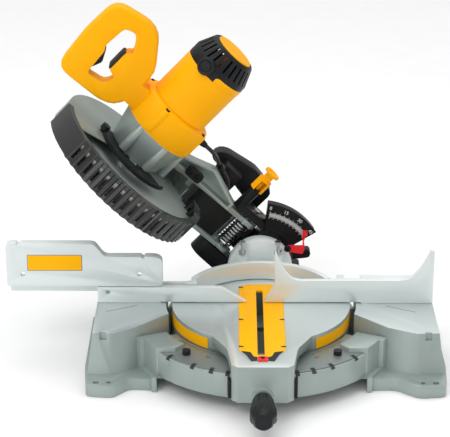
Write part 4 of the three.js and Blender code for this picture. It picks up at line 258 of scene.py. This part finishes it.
def dress(name, mat):
    """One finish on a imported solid, with its edges eased by modifiers only."""
    o = nodes[name]
    o.data.materials.clear()
    o.data.materials.append(mat)
    for p in o.data.polygons:
        p.use_smooth = True
    weld = o.modifiers.new("weld", "WELD")
    weld.merge_threshold = WELD_GAP
    if name in SOFT_EDGE:
        flat = o.modifiers.new("planar", "DECIMATE")
        flat.decimate_type = "DISSOLVE"
        flat.angle_limit = math.radians(FLAT_WITHIN)
        bevel = o.modifiers.new("ease", "BEVEL")
        bevel.width = SOFT_EDGE[name] * MM
        bevel.segments = EDGE_SEGMENTS
        bevel.limit_method = "ANGLE"
        bevel.angle_limit = math.radians(EASED_OVER)
    split = o.modifiers.new("split", "EDGE_SPLIT")
    split.split_angle = math.radians(SPLIT_OVER)


for finish, names in FINISH.items():
    for node_name in names:
        dress(node_name, finish)


# Pieces of the scene

def add_mesh(name, verts, faces, place, mat, body, smooth=False, bevel=0.0):
    """A mesh given in local millimetres, set in the row frame, that rides on a body."""
    mesh = bpy.data.meshes.new(name)
    mesh.from_pydata([place @ Vector(v) for v in verts], [], faces)
    bm = bmesh.new()
    bm.from_mesh(mesh)
    bmesh.ops.remove_doubles(bm, verts=bm.verts, dist=PIECE_WELD_GAP)
    bmesh.ops.recalc_face_normals(bm, faces=bm.faces)
    bm.to_mesh(mesh)
    bm.free()
    mesh.materials.append(mat)
    for p in mesh.polygons:
        p.use_smooth = smooth or bevel > 0
    o = bpy.data.objects.new(name, mesh)
    scene.collection.objects.link(o)
    if bevel:
        b = o.modifiers.new("bevel", "BEVEL")
        b.width, b.segments, b.limit_method = bevel * MM, EDGE_SEGMENTS, "ANGLE"
        b.angle_limit = math.radians(PIECE_EASED_OVER)
    if smooth or bevel:
        e = o.modifiers.new("split", "EDGE_SPLIT")
        e.split_angle = math.radians(PIECE_SPLIT_OVER)
    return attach(o, body)


def prism(outlines, low, high):
    """Vertices and faces of closed outlines raised from low to high along local z."""
    verts, faces = [], []
    for ring in outlines:
        n, start = len(ring), len(verts)
        verts += [(u, v, low) for u, v in ring] + [(u, v, high) for u, v in ring]
        faces += [[start + i for i in range(n)][::-1], [start + n + i for i in range(n)]]
        faces += [[start + i, start + (i + 1) % n, start + n + (i + 1) % n, start + n + i] for i in range(n)]
    return verts, faces


def lathe(profile, segments):
    """A solid of revolution about local z; the profile runs in (radius, z)."""
    verts, faces = [], []
    count = len(profile)
    for k in range(segments):
        a = 2 * math.pi * k / segments
        verts += [(r * math.cos(a), r * math.sin(a), z) for r, z in profile]
    for k in range(segments):
        n = (k + 1) % segments
        faces += [[k * count + i, n * count + i, n * count + i + 1, k * count + i + 1]
                  for i in range(count - 1)]
    return verts, faces


def merge(parts):
    verts, faces = [], []
    for v, f in parts:
        shift = len(verts)
        verts += list(v)
        faces += [[i + shift for i in face] for face in f]
    return verts, faces


def moved(part, matrix):
    return [tuple(matrix @ Vector(v)) for v in part[0]], part[1]


PARALLEL = 0.99


def facing(origin, normal, up=(0, 0, 1)):
    """Local x, y in the plane, and z along the normal, at an origin."""
    w = Vector(normal).normalized()
    v = Vector(up) if abs(w.dot(Vector(up))) < PARALLEL else Vector((0, 1, 0))
    v = (v - w * v.dot(w)).normalized()
    u = v.cross(w)
    m = Matrix((u, v, w)).transposed().to_4x4()
    m.translation = Vector(origin)
    return m


def ring_points(radius, from_degrees, to_degrees, steps, cu=0.0, cv=0.0):
    return [(cu + radius * math.cos(math.radians(from_degrees + (to_degrees - from_degrees) * i / steps)),
             cv + radius * math.sin(math.radians(from_degrees + (to_degrees - from_degrees) * i / steps)))
            for i in range(steps + 1)]


CORNER_STEPS = 4


def rounded_box(w, h, r):
    points = []
    for cu, cv, a in ((w - r, h - r, 0), (-w + r, h - r, 90), (-w + r, -h + r, 180), (w - r, -h + r, 270)):
        points += ring_points(r, a, a + 90, CORNER_STEPS, cu, cv)
    return points


# A screw head, as shares of its radius and height
SOCKET, SOCKET_RIM, CROWN = 0.5, 1.1, 0.85
CROWN_START, SOCKET_FLOOR = 0.75, 0.35
SCREW_STEPS, SCREW_CENTRE = 20, 0.0001


def socket_screw(radius, height):
    """A round screw head with a hexagon socket."""
    hexa = radius * SOCKET
    rim_radius = hexa * SOCKET_RIM
    body = lathe([(SCREW_CENTRE, 0), (radius, 0), (radius, height * CROWN_START),
                  (radius * CROWN, height), (rim_radius, height)], SCREW_STEPS)
    wall = [(hexa * math.cos(math.pi * k / 3), hexa * math.sin(math.pi * k / 3)) for k in range(6)]
    rim = ring_points(rim_radius, 0, 300, 5)
    verts = [(u, v, height) for u, v in rim] + [(u, v, height * SOCKET_FLOOR) for u, v in wall]
    faces = [[k, (k + 1) % 6, 6 + (k + 1) % 6, 6 + k] for k in range(6)] + [[6, 7, 8, 9, 10, 11]]
    return merge([body, (verts, faces)])


def screws(name, spots, radius, height, place, mat, body):
    parts = [moved(socket_screw(radius, height), facing(at, normal)) for at, normal in spots]
    verts, faces = merge(parts)
    return add_mesh(name, verts, faces, place, mat, body, smooth=True)


def number_outline(text, size):
    """A number's filled outline as vertices and faces, centred, in local millimetres."""
    curve = bpy.data.curves.new("number", "FONT")
    curve.body, curve.size, curve.align_x, curve.align_y = text, size, "CENTER", "CENTER"
    holder = bpy.data.objects.new("number", curve)
    scene.collection.objects.link(holder)
    bpy.context.view_layer.update()
    mesh = holder.evaluated_get(bpy.context.evaluated_depsgraph_get()).to_mesh()
    verts = [tuple(v.co) for v in mesh.vertices]
    faces = [list(p.vertices) for p in mesh.polygons]
    bpy.data.objects.remove(holder)
    bpy.data.curves.remove(curve)
    return verts, faces


def bar(u, v, angle, inner, outer, width, low, high):
    """A radial tick of a dial about (u, v)."""
    c, s = math.cos(angle), math.sin(angle)
    half = width / 2
    ring = [(u + r * c + side * half * s, v + r * s - side * half * c)
            for r, side in ((inner, 1), (outer, 1), (outer, -1), (inner, -1))]
    return prism([ring], low, high)


# Cords: the routes repeat the solids' own, in metres

LEAST_SPAN, CORD_SIDES = 1e-6, 4


def smooth_path(points, per=6):
    """Centripetal curve through the points, as the solids use."""
    pts = [Vector(p) for p in points]
    ends = [pts[0] * 2 - pts[1], *pts, pts[-1] * 2 - pts[-2]]
    out = []
    for i in range(1, len(ends) - 2):
        p0, p1, p2, p3 = ends[i - 1:i + 3]
        t0 = 0.0
        t1 = t0 + max(LEAST_SPAN, (p1 - p0).length) ** 0.5
        t2 = t1 + max(LEAST_SPAN, (p2 - p1).length) ** 0.5
        t3 = t2 + max(LEAST_SPAN, (p3 - p2).length) ** 0.5
        for k in range(per):
            t = t1 + (t2 - t1) * k / per
            a1 = p0 * ((t1 - t) / (t1 - t0)) + p1 * ((t - t0) / (t1 - t0))
            a2 = p1 * ((t2 - t) / (t2 - t1)) + p2 * ((t - t1) / (t2 - t1))
            a3 = p2 * ((t3 - t) / (t3 - t2)) + p3 * ((t - t2) / (t3 - t2))
            b1 = a1 * ((t2 - t) / (t2 - t0)) + a2 * ((t - t0) / (t2 - t0))
            b2 = a2 * ((t3 - t) / (t3 - t1)) + a3 * ((t - t1) / (t3 - t1))
            out.append(b1 * ((t2 - t) / (t2 - t1)) + b2 * ((t - t1) / (t2 - t1)))
    out.append(pts[-1])
    return out


def cord_curve(name, points, radius, place, mat, body):
    row = [place @ Vector(p) for p in points]
    curve = bpy.data.curves.new(name, "CURVE")
    curve.dimensions = "3D"
    curve.bevel_depth = radius * MM
    curve.bevel_resolution = CORD_SIDES
    curve.use_fill_caps = True
    spline = curve.splines.new("POLY")
    spline.points.add(len(row) - 1)
    for point, co in zip(spline.points, row):
        point.co = (*co, 1)
    spline.use_smooth = True
    curve.materials.append(mat)
    o = bpy.data.objects.new(name, curve)
    scene.collection.objects.link(o)
    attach(o, body)
    length = sum((b - a).length for a, b in zip(row, row[1:]))
    return o, row, length


CORD_RADIUS = 4
LEAD_ROUTE = [(119, 32, -86.2), (119, 32.1, -92), (118, 35.2, -102.5), (114.4, 44.4, -113),
              (109.5, 56.7, -122.1), (105.4, 66.3, -127.6), (101.1, 75.8, -133), (96.7, 85.3, -139.2),
              (92.1, 93.4, -146.2), (88.3, 98.6, -154.6), (85.2, 102, -164.6), (81.2, 104.8, -174.5),
              (75.7, 107, -183.5), (68, 108.8, -190.9), (58.3, 109.8, -195.8), (47.6, 110, -197)]
lead, lead_row, lead_length = cord_curve("lead_skin", smooth_path(LEAD_ROUTE), CORD_RADIUS, HEAD, CORD_SKIN,
                                         "head")
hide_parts("motor_lead")


# The coil of two layers: its centre, its loops at a pitch, and the part of a turn that climbs between them
COIL_AT, COIL_START = (-10, 325), math.radians(-20)
COIL_PITCH, COIL_TURNS, COIL_STEPS, COIL_MEAN_RADIUS = 8.7, 6, 24, 52
CLIMB, CORD_LIFT, COIL_SMOOTH = 0.5, 0.5, 4
# The lead's exit, its drop, the straight runs into and out of the coil, and its tail
EXIT_Y, EXIT_RUN = 264.6, 8
DROP = [(8, 278, 88), (26, 268, 48), (38, 262, 16)]
COIL_RUN, DROP_RUN, TAIL_RUN = 8.3, 20, 8
TAIL = [(62, 330, 12.6), (70, 344, 12), (70, 351.7, 12)]


def coil_points():
    inner = COIL_MEAN_RADIUS - COIL_PITCH * COIL_TURNS / 4
    points = []
    for i in range(COIL_TURNS * COIL_STEPS + 1):
        t = i / COIL_STEPS
        away = t - COIL_TURNS / 2
        share = min(1, max(0, (away + CLIMB / 2) / CLIMB))
        r = inner + COIL_PITCH * abs(away)
        a = COIL_START + 2 * math.pi * t
        points.append(Vector((COIL_AT[0] + r * math.cos(a), COIL_AT[1] + r * math.sin(a),
                              CORD_RADIUS + CORD_LIFT + COIL_PITCH * share)))
    return points


def extended(point, other, distance):
    """A point further on, level, in the direction from the other point."""
    d = point - other
    d.z = 0
    return point + d.normalized() * distance


def mains_route():
    coil = coil_points()
    end = extended(coil[0], coil[1], COIL_RUN)
    before = extended(end, coil[0], DROP_RUN)
    drop = smooth_path([(0, EXIT_Y, TABLE), (0, EXIT_Y + EXIT_RUN, TABLE), *DROP, before, end])
    first = extended(coil[-1], coil[-2], COIL_RUN)
    after = extended(first, coil[-1], TAIL_RUN)
    return drop + smooth_path(coil, COIL_SMOOTH) + smooth_path([first, after, *TAIL])


mains, mains_row, mains_length = cord_curve("mains_lead", mains_route(), CORD_RADIUS, ROW, CORD_SKIN, "table")
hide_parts("mains_cord", "mains_coil", "mains_tail")


# Dials

MARK_HEIGHT = 0.12
MITRE_TOP, MITRE_INNER, MITRE_WIDTH, MITRE_REACH = 73.9, 172, 0.55, 54
MITRE_SHORT, MITRE_LONG = 6, 10
MITRE_FIGURES, MITRE_FIGURES_AT, MITRE_SIZE = (-45, -30, -15, 0, 15, 30, 45), 192, 9
LONG_EVERY = 5


def mitre_marks():
    ticks, figures = [], []
    for d in range(-MITRE_REACH, MITRE_REACH + 1):
        a = math.radians(-90 + d)
        long = MITRE_LONG if d % LONG_EVERY == 0 else MITRE_SHORT
        ticks.append(bar(0, 0, a, MITRE_INNER, MITRE_INNER + long, MITRE_WIDTH, MITRE_TOP,
                         MITRE_TOP + MARK_HEIGHT))
    for d in MITRE_FIGURES:
        a = math.radians(-90 + d)
        at = (MITRE_FIGURES_AT * math.cos(a), MITRE_FIGURES_AT * math.sin(a), MITRE_TOP + MARK_HEIGHT)
        place = Matrix.Translation(at) @ Matrix.Rotation(math.radians(d), 4, "Z")
        figures.append(moved(number_outline(str(abs(d)), MITRE_SIZE), place))
    v, f = merge(ticks + figures)
    add_mesh("mitre_marks", v, f, ROW, DARK_MARK_AND_SHADE, "base")


# The bevel dial: radii of its long and short ticks, its band and its figures
BEVEL_FACE_Y, BEVEL_ZERO, BEVEL_REACH = 178, 34, 46
BEVEL_LONG, BEVEL_SHORT = (97, 112), (100, 109.5)
BEVEL_WIDTH, BEVEL_HEIGHT = 0.6, 0.15
BEVEL_FIGURES, BEVEL_FIGURES_AT, BEVEL_SIZE = (0, 15, 30, 45), 118.5, 9.5
BAND_RADII, BAND_END, BAND_HEIGHT, BAND_STEPS = (102, 108), -11, 0.1, 30


def bevel_marks():
    face = facing((0, BEVEL_FACE_Y, 0), (0, -1, 0))
    ticks, figures = [], []
    for d in range(BEVEL_REACH + 1):
        a = math.radians(BEVEL_ZERO - d)
        inner, outer = BEVEL_LONG if d % LONG_EVERY == 0 else BEVEL_SHORT
        ticks.append(bar(0, 0, a, inner, outer, BEVEL_WIDTH, 0, BEVEL_HEIGHT))
    for d in BEVEL_FIGURES:
        a = math.radians(BEVEL_ZERO - d)
        at = (BEVEL_FIGURES_AT * math.cos(a), BEVEL_FIGURES_AT * math.sin(a), MARK_HEIGHT)
        place = Matrix.Translation(at) @ Matrix.Rotation(a - math.pi / 2, 4, "Z")
        figures.append(moved(number_outline(str(d), BEVEL_SIZE), place))
    v, f = merge(ticks + figures)
    add_mesh("bevel_marks", v, f, TILT @ face, WHITE_MARK, "arm")
    band = (ring_points(BAND_RADII[0], BEVEL_ZERO, BAND_END, BAND_STEPS)
            + ring_points(BAND_RADII[1], BAND_END, BEVEL_ZERO, BAND_STEPS))
    v, f = prism([band], 0, BAND_HEIGHT)
    add_mesh("bevel_band", v, f, TILT @ face, GREY_MARK, "arm")


mitre_marks()
bevel_marks()


# Bare plates in the places of labels

BAND_WALL, BAND_LEVELS = (164.05, 164.5), (74.4, 94.5)
BAND_FROM, BAND_SPAN = 36, 50
PLATE_AT = (-378, 0, TABLE + 80)
PLATE_BORDER, BORDER_HEIGHT = (50.5, 16, 2), 0.25
PLATE_FACE, FACE_LEVELS, PLATE_EASE = (49, 14.6, 1.5), (0.2, 0.5), 0.1


def strip_faces(steps):
    """Faces of a bar of four-sided sections that is closed at both ends."""
    faces = []
    for i in range(steps):
        faces += [[4 * i + k, 4 * i + (k + 1) % 4, 4 * i + 4 + (k + 1) % 4, 4 * i + 4 + k] for k in range(4)]
    return faces + [[0, 1, 2, 3], [4 * steps + k for k in (3, 2, 1, 0)]]


def side_bands():
    """Yellow bands on the turntable's wall, left without print."""
    (r0, r1), (z0, z1) = BAND_WALL, BAND_LEVELS
    for side, name in ((1, "side_band_right"), (-1, "side_band_left")):
        verts = []
        for i in range(BAND_STEPS + 1):
            a = math.radians(-90 + side * (BAND_FROM + BAND_SPAN * i / BAND_STEPS))
            for r, z in ((r0, z0), (r1, z0), (r1, z1), (r0, z1)):
                verts.append((r * math.cos(a), r * math.sin(a), z))
        add_mesh(name, verts, strip_faces(BAND_STEPS), ROW, YELLOW_PLATE, "table")


def fence_plate():
    place = ROW @ facing(PLATE_AT, (0, -1, 0))
    v, f = prism([rounded_box(*PLATE_BORDER)], 0, BORDER_HEIGHT)
    add_mesh("fence_plate_border", v, f, place, GREY_MARK, "fence_slider", bevel=PLATE_EASE)
    v, f = prism([rounded_box(*PLATE_FACE)], *FACE_LEVELS)
    add_mesh("fence_plate_face", v, f, place, YELLOW_PLATE, "fence_slider", bevel=PLATE_EASE)


side_bands()
fence_plate()


# Screws, marks and small trim

COLLAR_SCREWS, COLLAR_SCREW_RING, COLLAR_SCREW_X = (72, 160, 245, 335), 68, 136.6
COLLAR_SCREW = (4.6, 3.4)


def collar_screws():
    spots = []
    for d in COLLAR_SCREWS:
        a = math.radians(d)
        spots.append(((COLLAR_SCREW_X, MOTOR_Y + COLLAR_SCREW_RING * math.cos(a),
                       MOTOR_Z + COLLAR_SCREW_RING * math.sin(a)), (1, 0, 0)))
    screws("collar_screws", spots, *COLLAR_SCREW, HEAD, BLACK, "head")


WING_LINE = [(228, -12), (228.3, -11), (283, -38), (282.6, -39)]
WING_LINE_LEVELS = (TABLE + 0.01, TABLE + 0.1)


def wing_lines():
    """The thin engraved line on each wing's top."""
    v, f = prism([WING_LINE, [(-x, y) for x, y in WING_LINE]], *WING_LINE_LEVELS)
    add_mesh("wing_lines", v, f, ROW, DARK_MARK_AND_SHADE, "base")


BRACKET_SCREWS, BRACKET_SCREW = [(55.5, 56.6, -107), (55.5, 56.6, -124)], (5.2, 3.6)
POINTER_SCREW_AT, POINTER_SCREW = (52, 141.9, TABLE + 49), (6.6, 4.5)


def bracket_screws():
    screws("bracket_screws", [(at, (0, -1, 0)) for at in BRACKET_SCREWS], *BRACKET_SCREW, HEAD, BLACK, "head")


def pointer_screw():
    screws("pointer_screw", [(POINTER_SCREW_AT, (0, -1, 0))], *POINTER_SCREW, ROW, BLACK, "table")


NOTCHES, NOTCH_EDGE, NOTCH_DEPTH, NOTCH_HALF_WIDTH, NOTCH_STEPS = (70, -70, -180), 41, 9, 3.2, 10
NOTCH_LEVELS = (TABLE + 0.02, TABLE + 0.12)


def kerf_notches():
    """Dark screw notches at the edges of the kerf plate."""
    rings = []
    for y in NOTCHES:
        for s in (1, -1):
            arc = []
            for k in range(NOTCH_STEPS + 1):
                a = math.pi * k / NOTCH_STEPS
                arc.append((s * (NOTCH_EDGE - NOTCH_DEPTH * math.sin(a)), y - NOTCH_HALF_WIDTH * math.cos(a)))
            rings.append(arc if s < 0 else arc[::-1])
    v, f = prism(rings, *NOTCH_LEVELS)
    add_mesh("kerf_notches", v, f, ROW, DARK_MARK_AND_SHADE, "table")


TIP_PAD = [(37, -199), (21, -203), (15.5, -220), (9.5, -222), (9.5, -236), (20, -238), (29, -212)]
TIP_PAD_LEVELS, TIP_PAD_EASE = (TABLE + 0.05, TABLE + 0.9), 0.4
POINTER_TOP = [(-7, -221.8), (-9, -239), (9, -239), (7, -221.8)]
POINTER_TOP_LEVELS, POINTER_TOP_EASE = (TABLE + 0.02, TABLE + 2.6), 0.6
TOP_SCREW_AT, TOP_SCREW = (0, -230, TABLE + 2.4), (3.6, 1.2)


def tip_pads():
    """Soft black pads on both sides of the kerf plate's tip, and the red pointer's upper part."""
    left = [(-x, y) for x, y in reversed(TIP_PAD)]
    v, f = prism([TIP_PAD[::-1], left[::-1]], *TIP_PAD_LEVELS)
    add_mesh("tip_pads", v, f, ROW, PAD, "table", bevel=TIP_PAD_EASE)
    v, f = prism([POINTER_TOP], *POINTER_TOP_LEVELS)
    add_mesh("pointer_top", v, f, ROW, RED, "table", bevel=POINTER_TOP_EASE)
    screws("pointer_top_screw", [(TOP_SCREW_AT, (0, 0, 1))], *TOP_SCREW, ROW, DARK_STEEL, "table")


# Painted shade in the detent slots: their angles, radii, width and levels
DETENTS, DETENT_RADII, DETENT_WIDTH, DETENT_LEVELS = (0, 15, 22.5, 31.6, 45), (224, 236.15), 7.6, (68.1, 72.2)


def detent_shades():
    """Painted shade: dark pieces on the floors of the detent slots at the ring's edge, where the slots lie in
    shade.
    """
    parts = []
    for d in DETENTS:
        for s in ((1, -1) if d else (1,)):
            parts.append(bar(0, 0, math.radians(-90 + s * d), *DETENT_RADII, DETENT_WIDTH, *DETENT_LEVELS))
    v, f = merge(parts)
    add_mesh("detent_shades", v, f, ROW, DARK_MARK_AND_SHADE, "base")


TONGUE_STEPS, TONGUE_FROM, TONGUE_SPAN, TONGUE_EASE = 26, 178, 100, 0.3
TONGUE_ROOT, TONGUE_TIP, TONGUE_RADII = 230.6, 243.5, (59.3, 60.1)
TONGUE_ROUNDING, TONGUE_ROUNDED_STEPS = 4, 2


def housing_tongue():
    """The yellow housing reaches into the end cap over part of its girth."""
    low, high = TONGUE_RADII
    verts = []
    for i in range(TONGUE_STEPS + 1):
        share = i / TONGUE_STEPS
        a = math.radians(TONGUE_FROM + TONGUE_SPAN * share)
        edge = min(share, 1 - share) * TONGUE_STEPS
        reach = TONGUE_TIP - TONGUE_ROUNDING * max(0.0, 1 - edge / TONGUE_ROUNDED_STEPS) ** 2
        for x, r in ((TONGUE_ROOT, low), (TONGUE_ROOT, high), (reach, high), (reach, low)):
            verts.append((x, MOTOR_Y + r * math.cos(a), MOTOR_Z + r * math.sin(a)))
    add_mesh("housing_tongue", verts, strip_faces(TONGUE_STEPS), HEAD, YELLOW, "head", bevel=TONGUE_EASE)


BOSSES, BOSS_X, BOSS_FROM_AXIS, BOSS_STEPS = (152, -28), 243, 55, 32
BOSS_PROFILE = [(10.6, 0), (16.5, 0), (16, 11), (14.5, 12.6), (11.6, 12.6), (10.6, 11.8), (10.6, 0)]


def brush_bosses():
    """Raised rims round the two brush caps."""
    parts = []
    for d in BOSSES:
        c, s = math.cos(math.radians(d)), math.sin(math.radians(d))
        at = (BOSS_X, MOTOR_Y + BOSS_FROM_AXIS * c, MOTOR_Z + BOSS_FROM_AXIS * s)
        parts.append(moved(lathe(BOSS_PROFILE, BOSS_STEPS), facing(at, (0, c, s), (1, 0, 0))))
    v, f = merge(parts)
    add_mesh("brush_bosses", v, f, HEAD, BLACK, "head", smooth=True)


collar_screws()
wing_lines()
bracket_screws()
pointer_screw()
kerf_notches()
tip_pads()
detent_shades()
housing_tongue()
brush_bosses()


# Floor and light

FLOOR_HALF, FLOOR_Z = 6, -0.0006


def floor():
    s, z = FLOOR_HALF, FLOOR_Z
    mesh = bpy.data.meshes.new("floor")
    mesh.from_pydata([(-s, -s, z), (s, -s, z), (s, s, z), (-s, s, z)], [], [[0, 1, 2, 3]])
    mesh.materials.append(surface("pale_floor", (0.93, 0.93, 0.93), 0.6, vary=0.01, grain=90, bump=0.02))
    o = bpy.data.objects.new("floor", mesh)
    scene.collection.objects.link(o)


def area_light(name, at, target, size, power):
    data = bpy.data.lights.new(name, "AREA")
    data.shape, data.size, data.size_y = "RECTANGLE", size[0], size[1]
    data.energy = power
    o = bpy.data.objects.new(name, data)
    o.location = at
    o.rotation_euler = (Vector(target) - Vector(at)).to_track_quat("-Z", "Y").to_euler()
    scene.collection.objects.link(o)


DOME_STRENGTH = (0.30, 1.2)


def world_light(low, high):
    """An even studio dome, brighter overhead than at the horizon."""
    world = bpy.data.worlds.new("studio")
    world.use_nodes = True
    tree = world.node_tree
    back = tree.nodes["Background"]
    back.inputs["Color"].default_value = (1, 1, 1, 1)
    coords = tree.nodes.new("ShaderNodeTexCoord")
    split = tree.nodes.new("ShaderNodeSeparateXYZ")
    spread = tree.nodes.new("ShaderNodeMapRange")
    spread.inputs["To Min"].default_value = low
    spread.inputs["To Max"].default_value = high
    tree.links.new(coords.outputs["Generated"], split.inputs["Vector"])
    tree.links.new(split.outputs["Z"], spread.inputs["Value"])
    tree.links.new(spread.outputs["Result"], back.inputs["Strength"])
    scene.world = world


floor()
world_light(*DOME_STRENGTH)
# Each lamp: place, target, size and power
LAMPS = {"key": ((-1.6, -1.8, 2.6), (0, 0, 0.2), (1.2, 1.2), 20),
         "front": ((-1.5, -2.5, 0.9), (-0.1, 0, 0.15), (1.6, 1.2), 8),
         "fill": ((2.2, -1.4, 1.4), (0, 0, 0.2), (1.6, 1.8), 6),
         "top": ((0, 0.6, 2.8), (0, 0, 0.1), (2.4, 1.6), 18)}
for lamp, values in LAMPS.items():
    area_light(lamp, *values)
scene.view_settings.view_transform = "Standard"
scene.view_settings.look = "None"
